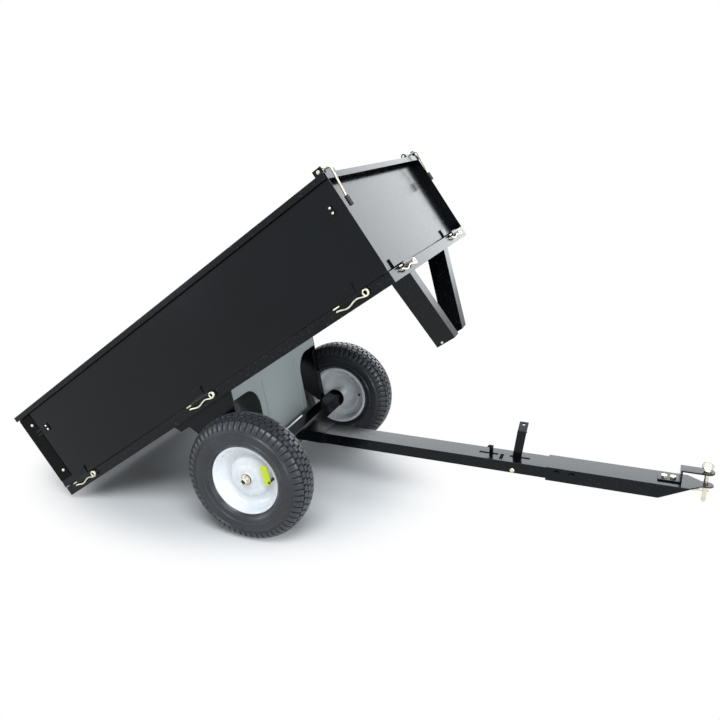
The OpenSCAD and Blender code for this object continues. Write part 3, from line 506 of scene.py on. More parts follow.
def casing_at(s, lift):
    """Point of the casing's section at a distance from its middle, lifted off its surface."""
    far = abs(s)
    i = max(k for k in range(len(ALONG) - 1) if ALONG[k] <= far)
    t = (far - ALONG[i]) / (ALONG[i + 1] - ALONG[i])
    p = CASING[i].lerp(CASING[i + 1], t)
    d = (CASING[i + 1] - CASING[i]).normalized()
    return p.x + d.y * lift, math.copysign(p.y - d.x * lift, s) if s else 0.0


def on_tyre(u, s, lift):
    """Point on the tyre: round the tread, across it, and off its surface."""
    r, z = casing_at(s, lift)
    t = u / TYRE_RADIUS
    return Vector((r * math.cos(t), r * math.sin(t), z))


def tread_block(shape, corners, low, high, rows):
    """Moulded block on four corners, with a drawn-in top; its height goes from low to high."""
    a, b, c, d = (Vector(corner) for corner in corners)

    def level(inset, share):
        """Rows of points over the block, drawn in from its edges and lifted."""
        span = 1 - 2 * inset
        grid = []
        for i in range(rows + 1):
            t = inset + span * i / rows
            left, right = a.lerp(d, t), b.lerp(c, t)
            lift = (low + (high - low) * i / rows) * share
            spots = [left.lerp(right, inset + span * k / BLOCK_COLUMNS) for k in range(BLOCK_COLUMNS + 1)]
            grid.append([on_tyre(p.x, p.y, lift) for p in spots])
        return grid

    def rim(grid):
        """Points round the edge of a level."""
        loop = list(grid[0]) + [row[-1] for row in grid[1:-1]]
        return loop + list(reversed(grid[-1])) + [row[0] for row in reversed(grid[1:-1])]

    top = level(*BLOCK_TOP)
    shape.skin([rim(level(*BLOCK_FOOT)), rim(level(*BLOCK_WALL)), rim(top)], caps=False)
    n = BLOCK_COLUMNS + 1
    faces = []
    for i in range(rows):
        for k in range(BLOCK_COLUMNS):
            faces.append([i * n + k, i * n + k + 1, (i + 1) * n + k + 1, (i + 1) * n + k])
    shape.add([p for row in top for p in row], faces)


def casing_section():
    """Half of the casing's section from its crown to its bead, with the sidewall's lines."""
    half = [(CASING[0].x, CASING[0].y)]
    for r, z, _ in CASING[1:]:
        half.append((r, z))
        for at, rise in SIDEWALL_LINES.items():
            if half[-2][0] > at >= r:
                line = [(at + LINE_HALF, z - 0.05), (at, z + rise), (at - LINE_HALF, z - 0.1)]
                half[-1:] = [*line, (r, z)]
    return half


def make_tyre(word, side):
    """Casing, a band of painted shade in the grooves, and tread blocks of one wheel."""
    place = wheel_place(side)
    body = f"wheel_{word}"
    casing = Shape()
    half = casing_section() + TYRE_INSIDE
    other = [(r, -z) for r, z in reversed(half) if z > 0]
    casing.lathe(half + other, sides=TYRE_SIDES, closed=True)
    build(f"tyre_casing_{word}", casing, place, "tyre_rubber", body, [f"tyre_{word}"], sharp=60)
    # Painted shade in the grooves: a dark band just over the casing, under the blocks
    grooves = Shape()
    places = range(-GROOVE_HALF, GROOVE_HALF + 1, GROOVE_STEP)
    band = [casing_at(s, GROOVE_OVER) for s in places]
    band += [casing_at(s, GROOVE_UNDER) for s in reversed(places)]
    grooves.lathe(band, sides=TYRE_SIDES, closed=True)
    build(f"tyre_grooves_{word}", grooves, place, "tyre_groove_painted_shade", body, sharp=60)
    tread = Shape()
    for i in range(TREAD_PITCHES):
        for up in (-1, 1):
            stagger = TREAD_STAGGER if up > 0 else 0
            for start, corners, lean, heights, rows in TREAD_BLOCKS:
                spots = []
                for (along, across), leans in zip(corners, (0, 0, lean, lean)):
                    spots.append(((i + stagger + start + along + leans * up) * PITCH, across * up))
                tread_block(tread, spots, *heights, rows)
    build(f"tyre_tread_{word}", tread, place, "tyre_rubber", body, sharp=40)


# Rims, hubs, bushes and valves: profiles of (radius, height)
RIM_FACE = [
    (110.0, 33.5), (110.3, 36.4), (109.0, 38.0), (106.6, 37.8), (104.4, 36.2), (102.4, 32.5),
    (100.9, 27.0), (99.2, 19.0), (96.6, 10.5), (92.4, 3.6), (86.8, -0.8), (80.2, -3.0), (73.6, -3.7),
    (70.2, -3.2), (67.4, -0.6), (64.6, 3.4), (59.6, 7.2), (52.6, 10.2), (45.6, 11.8), (40.2, 12.4),
    (37.4, 13.8), (35.2, 15.4), (31.6, 16.2), (25.0, 16.4), (17.2, 16.4),
]
RIM_BACK = [
    (17.2, 9.0), (36.0, 9.0), (42.0, 8.0), (60.0, 3.0), (66.0, -4.0), (72.0, -7.0), (84.0, -5.0),
    (94.0, -3.0), (99.0, -10.0),
]
RIM_BARREL = [
    (99.0, -34.0), (101.0, -37.0), (108.5, -37.4), (110.2, -36.0), (110.0, -33.6), (103.0, -33.0),
    (101.9, -30.0), (101.9, 30.0), (103.4, 33.0),
]
HUB_TUBE = [(13.2, -46.9), (16.2, -46.9), (17.0, -46.0), (17.0, 24.0), (16.2, 24.9), (13.2, 24.9)]
HUB_WELD_RADIUS = 18.2
HUB_WELD_UP = 17.0
HUB_WELD_SIZE = 1.9
BUSH = [
    (10.1, -24.0), (13.0, -24.0), (13.0, -3.0), (16.2, -3.0), (17.0, -2.2), (17.0, -0.8), (16.2, 0),
    (11.0, 0), (10.1, -0.8),
]
# Direction and reach of the outer and the inner bush's flange
BUSH_ENDS = ((1, 28.0), (-1, 50.0))
VALVE_OUT = 74.0
VALVE = [
    (0, -8.0), (4.8, -8.0), (5.6, -4.6), (5.0, -2.8), (4.4, -1.4), (4.0, 1.5), (3.8, 14.0), (3.5, 17.6),
    (3.6, 18.0), (3.7, 23.0), (3.2, 24.0), (0, 24.0),
]
VALVE_RIBS = 10
VALVE_RIB_SIZE = 0.35
VALVE_RIB_RADIUS = 3.6
VALVE_RIB_HEIGHTS = (18.4, 22.6)


def make_wheel(word, side):
    """Rim, hub tube, bushes and valve of one wheel."""
    place = wheel_place(side)
    body = f"wheel_{word}"
    rim = Shape()
    face = [(p.x, p.y) for p in smooth([(r, h, 0) for r, h in RIM_FACE], steps=3)]
    rim.lathe(face + RIM_BACK + RIM_BARREL, sides=128, closed=True)
    build(f"rim_dish_{word}", rim, place, "white_enamel", body, [f"rim_{word}"], sharp=50)
    hub = Shape()
    hub.lathe(HUB_TUBE, closed=True)
    weld = []
    for t in angles(90, 1):
        weld.append((HUB_WELD_RADIUS * math.cos(t), HUB_WELD_RADIUS * math.sin(t), HUB_WELD_UP))
    hub.sweep(weld, HUB_WELD_SIZE, sides=8, ripple=0.16)
    build(f"hub_tube_{word}", hub, place, "white_enamel", body, [f"hub_{word}"])
    bush = Shape()
    for up, reach in BUSH_ENDS:
        bush.lathe([(r, up * (reach + h)) for r, h in BUSH], closed=True)
    build(f"bush_flanged_{word}", bush, place, "bush_nylon", body, [f"bush_{word}"])
    valve = Shape()
    valve.lathe(VALVE, Matrix.Translation((VALVE_OUT, 0, 0)), sides=32)
    for t in angles(VALVE_RIBS):
        x = VALVE_OUT + VALVE_RIB_RADIUS * math.cos(t)
        y = VALVE_RIB_RADIUS * math.sin(t)
        valve.sweep([(x, y, z) for z in VALVE_RIB_HEIGHTS], VALVE_RIB_SIZE, sides=6)
    build(f"valve_stem_{word}", valve, place, "black_rubber", body, [f"valve_{word}"])


for word, side in SIDES.items():
    make_tyre(word, side)
    make_wheel(word, side)

# Plain yellow tag with its hole over the near wheel's valve
TAG_WIDE = 23.0
TAG_LONG = 66.0
TAG_THICK = 0.5
TAG_HOLE = 4.2
TAG_ASIDE = 6.0
TAG_PAST_HOLE = 9.0
TAG_SQUARE = 1.35
TAG_CURL = 5.0
TAG_BOW = 0.02
TAG_UP = 21.0
TAG_TURN = 9
TAG_TILT = 4
TAG_POINTS = 32


def tag_point(hole, edge, share, lift):
    """Point between the hole's edge and the tag's, on its slight curl."""
    across = hole[0] + (edge[0] - hole[0]) * share
    along = hole[1] + (edge[1] - hole[1]) * share
    curl = TAG_CURL * (along / TAG_LONG) ** 2 + TAG_BOW * across * across / TAG_WIDE
    return (across, along, curl + lift)


def squared(value):
    """Pushes a sine towards the corners of a rounded rectangle."""
    return max(-1, min(1, TAG_SQUARE * value))


tag_hole = []
tag_edge = []
for t in angles(TAG_POINTS):
    tag_hole.append((TAG_HOLE * math.cos(t), TAG_HOLE * math.sin(t)))
    x = squared(math.cos(t)) * TAG_WIDE / 2 - TAG_ASIDE
    y = TAG_LONG / 2 - TAG_PAST_HOLE + squared(math.sin(t)) * TAG_LONG / 2
    tag_edge.append((x, y))
tag_levels = []
for lift, shares in ((0, (0, 0.5, 1.0)), (TAG_THICK, (1.0, 0.5, 0))):
    for share in shares:
        tag_levels.append([tag_point(h, e, share, lift) for h, e in zip(tag_hole, tag_edge)])
tag = Shape()
tag.skin(tag_levels, closed=True)
tag_tilt = Matrix.Rotation(math.radians(TAG_TILT), 4, "X")
tag_lean = Matrix.Rotation(math.radians(TAG_TURN), 4, "Z") @ tag_tilt
tag_place = wheel_place(SIDES["right"]) @ Matrix.Translation((VALVE_OUT, 0, TAG_UP)) @ tag_lean
build("valve_tag", tag, tag_place, "tag", "wheel_right", sharp=60)

# Axle with drilled ends, washers and split pins; a dark disc deep in each drilled end is painted shade for the
# dark inside of the hole
AXLE_END = 409.5
AXLE_LINE = Matrix.Translation((0, 0, TYRE_RADIUS)) @ ALONG_Y
# Profiles of the ends: (radius, distance in from the tip)
DRILLED_END = [(0, 16), (6.8, 14), (7.2, 0.8), (7.8, 0), (8.8, 0), (10, 1.4)]
# Dark disc deep in each drilled end: painted shade for the inside of the hole
END_SHADE_DISC = [(0, 9), (6.9, 9), (6.9, 2.6), (6.2, 2.0), (0, 2.8)]
WASHERS_AT = (391.8, 311.2)
WASHER = [(10.2, 0), (14.2, 0), (15.0, 0.5), (15.0, 1.5), (14.2, 2), (10.2, 2)]
PIN_Y = 396.1
PIN_WIRE = 0.95
PIN_LEG = [(0.75, 14.5), (0.95, 6), (0.95, -6), (0.95, -13), (2.2, -16), (3.2, -17.2)]
PIN_EYE = (2.6, 2.2)
PIN_EYE_UP = 15.9
PIN_EYE_START = 0.35 * math.pi / 2
PIN_EYE_POINTS = 40

axle = Shape()
left_end = [(r, AXLE_END - h) for r, h in DRILLED_END]
axle.lathe([(r, -h) for r, h in left_end] + left_end[::-1], AXLE_LINE)
build("axle_rod", axle, CART, "zinc_plate", "chassis", ["axle_shaft"])
shade_discs = Shape()
washers = Shape()
pins = Shape()
for side in SIDES.values():
    shade_discs.lathe([(r, (AXLE_END - h) * side) for r, h in END_SHADE_DISC][::side], AXLE_LINE, sides=48)
    for y in WASHERS_AT:
        washers.lathe([(r, (y + h) * side) for r, h in WASHER], AXLE_LINE, closed=True)
    pin_middle = Vector((0, PIN_Y * side, TYRE_RADIUS))
    for leg in (1, -1):
        route = smooth([(x * leg, 0, z) for x, z in PIN_LEG], steps=6)
        pins.sweep([p + pin_middle for p in route], PIN_WIRE, sides=8)
    eye = []
    for t in angles(PIN_EYE_POINTS)[:-1]:
        turn = PIN_EYE_START + t
        x = PIN_EYE[0] * math.sin(turn)
        z = PIN_EYE_UP + PIN_EYE[1] * math.cos(turn)
        eye.append(pin_middle + Vector((x, 0, z)))
    pins.sweep(eye, PIN_WIRE, sides=8)
build("axle_end_shade_discs", shade_discs, CART, "black_rubber", "chassis")
build("axle_washer_rings", washers, CART, "zinc_plate", "chassis", ["axle_washers"])
build("axle_split_pins", pins, CART, "zinc_plate", "chassis", ["axle_pins"])

# Bolts of the drawbar, the latch and the hitch
HEX = 15.6
HEX_TALL = 6.0
SHANK = 4.9
THREAD = (5.0, 8.6)
HEAD_WASHER = [(0, 0), (7.4, 0), (7.4, 0.9), (0, 0.9)]
NUT_WASHER = [(0, 0), (8.6, 0), (8.6, 1.2), (0, 1.2)]
DOMED_HEAD = [(0, 0.5), (7.2, 0.5), (7.1, 1.4), (6.2, 2.8), (4.0, 3.7), (0, 4.0)]
FRONT_HALF = 44.5
FRONT_TOP = 217.5
FRONT_WALL = 3.5
STRAP_THICK = 5.0
DRAWBAR_BOLTS = (861.0, 904.0)
HITCH_BOLTS = (1158.0, 1182.0)
HITCH_SHANK = (-9.0, 1.0)
LATCH_X = 729.0
LATCH_Z = 187.0
LATCH_HALF = 41.0


def shank(shape, place, low, high, sides, radius=SHANK):
    """Plain shank of a bolt along Z."""
    shape.lathe([(0, low), (radius, low), (radius, high), (0, high)], place, sides)


def cross_bolt(shape, x, z, half, domed=False):
    """Bolt across the cart with its head on the right and its nut on the left."""
    head = look_to((x, -half, z), (0, -1, 0))
    nut = look_to((x, half, z), (0, 1, 0))
    shape.lathe(HEAD_WASHER, head, sides=32)
    if domed:
        shape.lathe(DOMED_HEAD, head, sides=40)
    else:
        shape.hexagon(head, HEX, HEX_TALL)
    shape.lathe(NUT_WASHER, nut, sides=32)
    shape.hexagon(nut, HEX, HEX_TALL)
    shape.thread(nut, SHANK, *THREAD)
    shank(shape, Matrix.Translation((x, 0, z)) @ ALONG_Y, -half, half, sides=32)


joining = Shape()
for x in DRAWBAR_BOLTS:
    cross_bolt(joining, x, TYRE_RADIUS, FRONT_HALF)
build("drawbar_bolt_set", joining, CART, "black_gloss", "chassis", ["drawbar_bolts"])
pivot = Shape()
cross_bolt(pivot, LATCH_X, LATCH_Z, LATCH_HALF, domed=True)
build("latch_pivot", pivot, CART, "zinc_plate", "chassis", ["latch_pivot_bolt"])
hitch_bolts = Shape()
for x in HITCH_BOLTS:
    top = Matrix.Translation((x, 0, FRONT_TOP + STRAP_THICK))
    low = look_to((x, 0, FRONT_TOP - FRONT_WALL), (0, 0, -1))
    hitch_bolts.hexagon(top, HEX, HEX_TALL)
    hitch_bolts.hexagon(low, HEX, HEX_TALL)
    hitch_bolts.thread(low, SHANK, *THREAD)
    shank(hitch_bolts, top, *HITCH_SHANK, sides=24)
build("hitch_bolt_set", hitch_bolts, CART, "zinc_plate", "chassis", ["hitch_bolts"])

# Return spring of the latch
SPRING_RADIUS = 6.3
SPRING_WIRE = 1.0
SPRING_CURLS = 7
SPRING_PITCH = 2.7
SPRING_START = 6.0
SPRING_STEPS = 24
coil = []
for i in range(SPRING_STEPS * SPRING_CURLS + 1):
    t = 2 * math.pi * i / SPRING_STEPS
    x = LATCH_X + SPRING_RADIUS * math.cos(t)
    z = LATCH_Z + SPRING_RADIUS * math.sin(t)
    coil.append((x, SPRING_START + SPRING_PITCH * i / SPRING_STEPS, z))
spring = Shape()
spring.sweep(coil, SPRING_WIRE, sides=8)
build("latch_return_spring", spring, CART, "zinc_plate", "chassis", ["latch_spring"])

# Hitch pin with its ring, and its hairpin clip
HITCH_X = 1268.0
STRAP_TOP = 258.5
PIN_TIP = 163.0
RING_RADIUS = 13.0
RING_UP = 17.0
RING_WIRE = 3.0
CLIP_Z = 196.0
CLIP_BACK = 30.0
HITCH_PIN = [
    (0, PIN_TIP), (3.6, PIN_TIP), (6, PIN_TIP + 3.5), (6, STRAP_TOP), (9.2, STRAP_TOP),
    (10, STRAP_TOP + 0.8), (10, STRAP_TOP + 3.2), (9.2, STRAP_TOP + 4), (0, STRAP_TOP + 4),
]
hitch = Shape()
hitch.lathe(HITCH_PIN, Matrix.Translation((HITCH_X, 0, 0)), sides=48)
ring = []
for t in angles(64, 1):
    ring.append((HITCH_X + RING_RADIUS * math.sin(t), 0, STRAP_TOP + RING_UP - RING_RADIUS * math.cos(t)))
hitch.sweep(ring, RING_WIRE, sides=16)
build("hitch_pin_ring", hitch, CART, "zinc_plate", "hitch_pin", ["hitch_pin"])


# Hairpin clips: points of the eye and of the wavy leg, the turn of each in degrees,
# the wavy leg's share of the straight one, and the eye's step aside in wires
EYE_STEPS = 36
EYE_TURN = 540
WAVE_STEPS = 48
WAVE_TURN = 540
WAVE_SHARE = 0.95
EYE_ASIDE = 2.1


def hairpin(leg, turn, near, wire):
    """Hairpin clip in X and Z: straight leg, an eye of one and a half turns, and a wavy leg below."""
    aside = EYE_ASIDE * wire
    route = [Vector((-leg, 0, 0)), Vector((-leg / 2, 0, 0))]
    for i in range(EYE_STEPS + 1):
        share = i / EYE_STEPS
        t = math.radians(90 - EYE_TURN * share)
        route.append(Vector((turn * math.cos(t), aside * share, turn * math.sin(t) - turn)))
    deep = 2 * turn - near
    for i in range(1, WAVE_STEPS + 1):
        share = i / WAVE_STEPS
        wave = (1 - math.cos(math.radians(WAVE_TURN * share))) / 2
        back_in = aside * (1 - min(1, 3 * share))
        route.append(Vector((-leg * WAVE_SHARE * share, back_in, -2 * turn + deep * wave)))
    return route


CLIP_WIRE = 1.8
clip_turn = Matrix.Diagonal((-1, 1, -1, 1)) @ Matrix.Rotation(math.radians(90), 4, "X")
clip_place = Matrix.Translation((HITCH_X - CLIP_BACK, 0, CLIP_Z)) @ clip_turn
clip = Shape()
clip_route = hairpin(leg=44, turn=9, near=8.1, wire=CLIP_WIRE)
clip.sweep([clip_place @ p for p in clip_route], CLIP_WIRE)
build("hitch_hairpin", clip, CART, "zinc_plate", "hitch_clip", ["hitch_clip"])

# Hairpin clips along the tub's hinges
TUB_LENGTH = 1410.0
TUB_HALF = 390.0
SIDE_HINGES = (112.0, 700.0, 1287.0)
FRONT_HINGES = (-265.0, 255.0)
HINGE_OUT = 7.0
HINGE_UP = 28.0
KNUCKLE = 40.0
LUG = 18.0
HINGE_WIRE = 2.5
# How far the straight leg and the eye reach past the lugs
LEG_PAST = 14
EYE_PAST = 6
HINGE_LEG = 2 * (KNUCKLE / 2 + LUG + LEG_PAST)
HINGE_EYE = Vector((KNUCKLE / 2 + LUG + EYE_PAST, HINGE_OUT, HINGE_UP))


def clip_set(name, places, node):
    """Hairpins at the hinges of one wall."""
    shape = Shape()
    for place in places:
        route = hairpin(HINGE_LEG, turn=8.0, near=9.2, wire=HINGE_WIRE)
        shape.sweep([place @ (p + HINGE_EYE) for p in route], HINGE_WIRE)
    build(name, shape, TUB, "zinc_plate", "tub", [node])


for word, side in SIDES.items():
    places = [mirrored(side) @ Matrix.Translation((u, TUB_HALF, 0)) for u in SIDE_HINGES]
    clip_set(f"side_hairpins_{word}", places, f"hinge_clips_{word}")
front_turn = Matrix.Rotation(math.radians(-90), 4, "Z") @ Matrix.Diagonal((-1, 1, 1, 1))
places = [Matrix.Translation((TUB_LENGTH, y, 0)) @ front_turn for y in FRONT_HINGES]
clip_set("front_hairpins", places, "hinge_clips_front")

# Pin between the legs' feet
LATCH_PIN = Matrix.Translation((1302.0, 0, -224.7)) @ ALONG_Y
LATCH_PIN_HALF = 77.0
LATCH_PIN_END = [(0, 0), (3.2, 0), (4, 0.9)]
latch_bar = Shape()
right_end = [(r, h - LATCH_PIN_HALF) for r, h in LATCH_PIN_END]
latch_bar.lathe(right_end + [(r, -h) for r, h in reversed(right_end)], LATCH_PIN, sides=32)
build("latch_cross_pin", latch_bar, TUB, "zinc_plate", "tub", ["latch_pin"])

# Corner bolts with their wire handles and grips
CORNER_U = 1396.0
CORNER_W = 329.0
BOLT_START = 299.0
BOLT_END = 387.0
HANDLE_Y = 370.0
HANDLE_LOW = CORNER_W - 108.0
HANDLE_FRONT = TUB_LENGTH + 14.0
HANDLE_FOOT = TUB_LENGTH + 7.5
HANDLE_BEND = 9.0
BEND_STEPS = 6
HANDLE_START = 6.5
HANDLE_WIRE = 3.0
GRIP_LENGTH = 28.0
GRIP_DROP = 3.0
GRIP_RIBS = 5
GRIP_RIB_START = 4.0
GRIP_RIB_PITCH = 4.2
CORNER_ROD = [
    (0, BOLT_START), (3.6, BOLT_START), (4.5, BOLT_START + 1), (4.5, BOLT_END - 1.4), (3.4, BOLT_END),
    (0, BOLT_END),
]
CORNER_COLLAR = [
    (0, HANDLE_Y - 5), (6.7, HANDLE_Y - 5), (7.5, HANDLE_Y - 4.2), (7.5, HANDLE_Y + 4.2),
    (6.7, HANDLE_Y + 5), (0, HANDLE_Y + 5),
]
HANDLE = [(CORNER_U + HANDLE_START, CORNER_W)]
for i in range(BEND_STEPS + 1):
    t = math.pi / 2 * i / BEND_STEPS
    u = HANDLE_FRONT - HANDLE_BEND * (1 - math.sin(t))
    HANDLE.append((u, CORNER_W - HANDLE_BEND * (1 - math.cos(t))))
HANDLE += [(HANDLE_FOOT, HANDLE_LOW + GRIP_LENGTH), (HANDLE_FOOT, HANDLE_LOW)]
GRIP = [(0, 0), (3.6, 0.1), (5.4, 0.9), (6.3, 2.6)]
for k in range(GRIP_RIBS):
    h = GRIP_RIB_START + GRIP_RIB_PITCH * k
    GRIP += [(6.5, h), (6.5, h + 2.4), (6.0, h + 2.9), (6.0, h + 3.7)]
GRIP += [(6.5, GRIP_LENGTH - 2.4), (6.3, GRIP_LENGTH - 1), (5.2, GRIP_LENGTH), (3.2, GRIP_LENGTH)]
for word, side in SIDES.items():
    body = f"corner_bolt_{word}"
    bolt = Shape()
    bolt_line = mirrored(side) @ Matrix.Translation((CORNER_U, 0, CORNER_W)) @ ALONG_Y
    bolt.lathe(CORNER_ROD, bolt_line, sides=40)
    bolt.lathe(CORNER_COLLAR, bolt_line, sides=40)
    build(f"corner_bolt_rod_{word}", bolt, TUB, "zinc_plate", body, [f"corner_bolt_{word}"])
    handle = Shape()
    route = smooth([(u, side * HANDLE_Y, w) for u, w in HANDLE], steps=4)
    handle.sweep(route, HANDLE_WIRE, sides=14)
    build(f"corner_handle_{word}", handle, TUB, "zinc_plate", body, [f"bolt_handle_{word}"])
    grip = Shape()
    grip_foot = Matrix.Translation((HANDLE_FOOT, side * HANDLE_Y, HANDLE_LOW - GRIP_DROP))
    grip.lathe(GRIP, grip_foot, sides=40)
    build(f"corner_grip_{word}", grip, TUB, "black_rubber", body, [f"bolt_grip_{word}"])

# Bolts and rivets on the side walls
STRIP_U = 40.0
STRIP_HEIGHTS = (86.0, 266.0)
STRIP_HEAD = [(0, 2), (5.3, 2), (5.1, 2.8), (4.3, 4.0), (2.7, 4.6), (0, 4.7)]
STRIP_SHANK = 3.9
STRIP_SHANK_ENDS = (-9, 2.5)
STRIP_NUT_IN = 4.0
STRIP_HEX = 13.8
STRIP_HEX_TALL = 5.0
STRIP_THREAD = (4.0, 5.8)
# Keeper plates: middle along the tub, middle height, width and height
KEEPERS = ((85.0, 232.0, 37.0, 26.0), (1365.0, 235.0, 25.0, 28.0))
KEEPER_THICK = 3.0
RIVET = [(0, 0), (3.5, 0), (3.4, 0.6), (2.6, 1.5), (1.4, 1.9), (0, 2.0)]


def out_of_wall(side, u, w, lift=0.0):
    """Frame on a side wall's outer face, with Z pointing out."""
    return mirrored(side) @ Matrix.Translation((u, TUB_HALF + lift, w)) @ ALONG_Y


for word, side in SIDES.items():
    body = f"side_wall_{word}"
    bolts = Shape()
    for w in STRIP_HEIGHTS:
        out = out_of_wall(side, STRIP_U, w)
        bolts.lathe(STRIP_HEAD, out, sides=40)
        shank(bolts, out, *STRIP_SHANK_ENDS, sides=24, radius=STRIP_SHANK)
        nut = out @ Matrix.Translation((0, 0, -STRIP_NUT_IN)) @ Matrix.Rotation(math.pi, 4, "X")
        bolts.hexagon(nut, STRIP_HEX, STRIP_HEX_TALL)
        bolts.thread(nut, STRIP_SHANK, *STRIP_THREAD)
    build(f"strip_bolt_set_{word}", bolts, TUB, "zinc_plate", body, [f"strip_bolts_{word}"])
    rivets = Shape()
    for u, w, wide, tall in KEEPERS:
        for up in (-1, 1):
            out = out_of_wall(side, u + wide / 4, w + up * tall / 4, KEEPER_THICK)
            rivets.lathe(RIVET, out, sides=24)
    build(f"keeper_rivet_set_{word}", rivets, TUB, "zinc_plate", body, [f"keeper_rivets_{word}"])

# Weld beads where the drawbar's socket meets the axle beam
WELD_SIZE = 1.7
WELD_STEP = 1.6
WELDS = (
    ((23.5, -35, 217.2), (23.5, 35, 217.2)),
    ((23.6, -44.2, 182), (23.6, -44.2, 214)),
    ((23.6, 44.2, 182), (23.6, 44.2, 214)),
)
welds = Shape()
for ends in WELDS:
    a, b = (Vector(end) for end in ends)
    steps = max(6, int((b - a).length / WELD_STEP))
    welds.sweep([a.lerp(b, i / steps) for i in range(steps + 1)], WELD_SIZE, sides=8, ripple=0.14)
build("axle_socket_welds", welds, CART, "black_gloss", "chassis")

# Studio: white background, pale floor that keeps the shadow, and soft lamps
WHITE = (1, 1, 1, 1)
SKY = (0.93, 0.96, 1.0, 1)
SKY_STRENGTH = 0.18
FLOOR = (0.82, 0.83, 0.84, 1)
FLOOR_REACH = 14.0
FLOOR_BELOW = 0.0005
# Where the floor keeps its shadow: its middle along X, its stretch, and where it fades to white
SHADOW_MIDDLE = -0.5
SHADOW_STRETCH = 0.75
SHADOW_NEAR = 0.38
SHADOW_FAR = 0.62
COOL = (0.92, 0.965, 1.0)
# Place, aim, size in metres and power in watts
LAMPS = {
    "key": ((0.9, -2.3, 3.6), (0, 0, 0.2), (2.4, 1.8), 118),
    "top": ((0.6, 0.9, 4.2), (0.1, 0, 0), (4.0, 3.0), 80),
    "back": ((0.3, 4.2, 1.9), (0.1, 0, 0.5), (4.8, 2.2), 100),
    "fill": ((3.3, -1.9, 1.1), (0, 0, 0.35), (1.8, 1.2), 55),
    "left": ((-2.4, -2.0, 0.7), (-0.6, -0.4, 0.3), (1.4, 1.0), 16),
}
scene = bpy.context.scene
scene.view_settings.view_transform = "Standard"


def background_ray(tree):
    """1 for rays that show the background to the eye, straight or in a reflection."""
    path = tree.nodes.new("ShaderNodeLightPath")
    seen = path.outputs["Is Camera Ray"]
    for name in ("Is Glossy Ray", "Is Transmission Ray"):
        highest = tree.nodes.new("ShaderNodeMath")
        highest.operation = "MAXIMUM"
        tree.links.new(seen, highest.inputs[0])
        tree.links.new(path.outputs[name], highest.inputs[1])
        seen = highest.outputs[0]
    return seen


def finish_tree(tree, factor, lit, white, out_kind):
    """Mixes the lit look and the white one by a factor, into the tree's output."""
    choose = tree.nodes.new("ShaderNodeMixShader")
    tree.links.new(factor, choose.inputs[0])
    tree.links.new(lit.outputs[0], choose.inputs[1])
    tree.links.new(white.outputs[0], choose.inputs[2])
    out = tree.nodes.new(out_kind)
    tree.links.new(choose.outputs[0], out.inputs["Surface"])


def vector_math(tree, operation, vector, by=None):
    """Vector node on a vector, with a plain second vector where it takes one."""
    node = tree.nodes.new("ShaderNodeVectorMath")
    node.operation = operation
    tree.links.new(vector, node.inputs[0])
    if by:
        node.inputs[1].default_value = by
    return node


def floor_white(tree):
    """Grows from 0 beside the cart, where the floor keeps its shadow, to 1 further out."""
    spot = tree.nodes.new("ShaderNodeTexCoord").outputs["Object"]
    place = vector_math(tree, "SUBTRACT", spot, (SHADOW_MIDDLE, 0, 0))
    squeeze = vector_math(tree, "MULTIPLY", place.outputs[0], (SHADOW_STRETCH, 1, 0))
    away = vector_math(tree, "LENGTH", squeeze.outputs[0])
    fade = tree.nodes.new("ShaderNodeMapRange")
    fade.interpolation_type = "SMOOTHSTEP"
    fade.inputs["From Min"].default_value = SHADOW_NEAR
    fade.inputs["From Max"].default_value = SHADOW_FAR
    tree.links.new(away.outputs["Value"], fade.inputs["Value"])
    return fade.outputs["Result"]


world = bpy.data.worlds.new("studio")
scene.world = world
world.use_nodes = True
tree = world.node_tree
tree.nodes.clear()
dim = tree.nodes.new("ShaderNodeBackground")
dim.inputs["Color"].default_value = SKY
dim.inputs["Strength"].default_value = SKY_STRENGTH
bright = tree.nodes.new("ShaderNodeBackground")
bright.inputs["Color"].default_value = WHITE
bright.inputs["Strength"].default_value = 1.0
finish_tree(tree, background_ray(tree), dim, bright, "ShaderNodeOutputWorld")

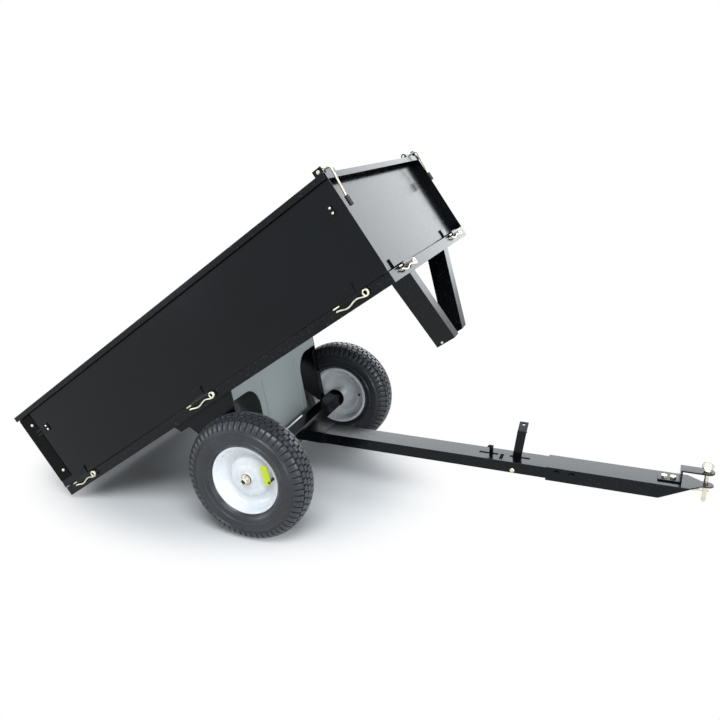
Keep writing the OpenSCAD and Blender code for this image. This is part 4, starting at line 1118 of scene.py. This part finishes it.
floor_mesh = bpy.data.meshes.new("studio_floor")
corners = [(x * FLOOR_REACH, y * FLOOR_REACH, 0) for x, y in ((-1, -1), (1, -1), (1, 1), (-1, 1))]
floor_mesh.from_pydata(corners, [], [(0, 1, 2, 3)])
floor = bpy.data.objects.new("studio_floor", floor_mesh)
scene.collection.objects.link(floor)
floor.location.z = -FLOOR_BELOW
floor_material = bpy.data.materials.new("studio_floor")
floor_material.use_nodes = True
tree = floor_material.node_tree
tree.nodes.clear()
matt = tree.nodes.new("ShaderNodeBsdfDiffuse")
matt.inputs["Color"].default_value = FLOOR
glow = tree.nodes.new("ShaderNodeEmission")
glow.inputs["Color"].default_value = WHITE
lift = tree.nodes.new("ShaderNodeMath")
lift.operation = "MULTIPLY"
tree.links.new(background_ray(tree), lift.inputs[0])
tree.links.new(floor_white(tree), lift.inputs[1])
finish_tree(tree, lift.outputs[0], matt, glow, "ShaderNodeOutputMaterial")
floor_mesh.materials.append(floor_material)

for name, (spot, aim, size, power) in LAMPS.items():
    light = bpy.data.lights.new(name, "AREA")
    light.shape = "RECTANGLE"
    light.size, light.size_y = size
    light.energy = power
    light.color = COOL
    lamp = bpy.data.objects.new(name, light)
    scene.collection.objects.link(lamp)
    lamp.location = spot
    lamp.rotation_euler = (Vector(aim) - Vector(spot)).to_track_quat("-Z", "Y").to_euler()

# Camera at the photograph's place, measured from the axle
PHOTO_SIZE = 720
FOCAL_PIXELS = 714.43
SENSOR = 36.0
AZIMUTH = 0.367915
ELEVATION = 0.330359
ROLL = -0.01145
CAMERA_AT = (AXLE.x + 1.0031, -2.0389, 1.2235)
camera_data = bpy.data.cameras.new("camera")
camera = bpy.data.objects.new("camera", camera_data)
scene.collection.objects.link(camera)
scene.camera = camera
camera_data.sensor_width = SENSOR
camera_data.sensor_fit = "HORIZONTAL"
camera_data.lens = FOCAL_PIXELS / PHOTO_SIZE * SENSOR
level = math.cos(ELEVATION)
back = Vector((math.sin(AZIMUTH) * level, -math.cos(AZIMUTH) * level, math.sin(ELEVATION)))
right = Vector((0, 0, 1)).cross(back).normalized()
up = back.cross(right)
rolled_right = math.cos(ROLL) * right + math.sin(ROLL) * up
rolled_up = -math.sin(ROLL) * right + math.cos(ROLL) * up
turn = Matrix((rolled_right, rolled_up, back)).transposed().to_4x4()
camera.matrix_world = Matrix.Translation(CAMERA_AT) @ turn
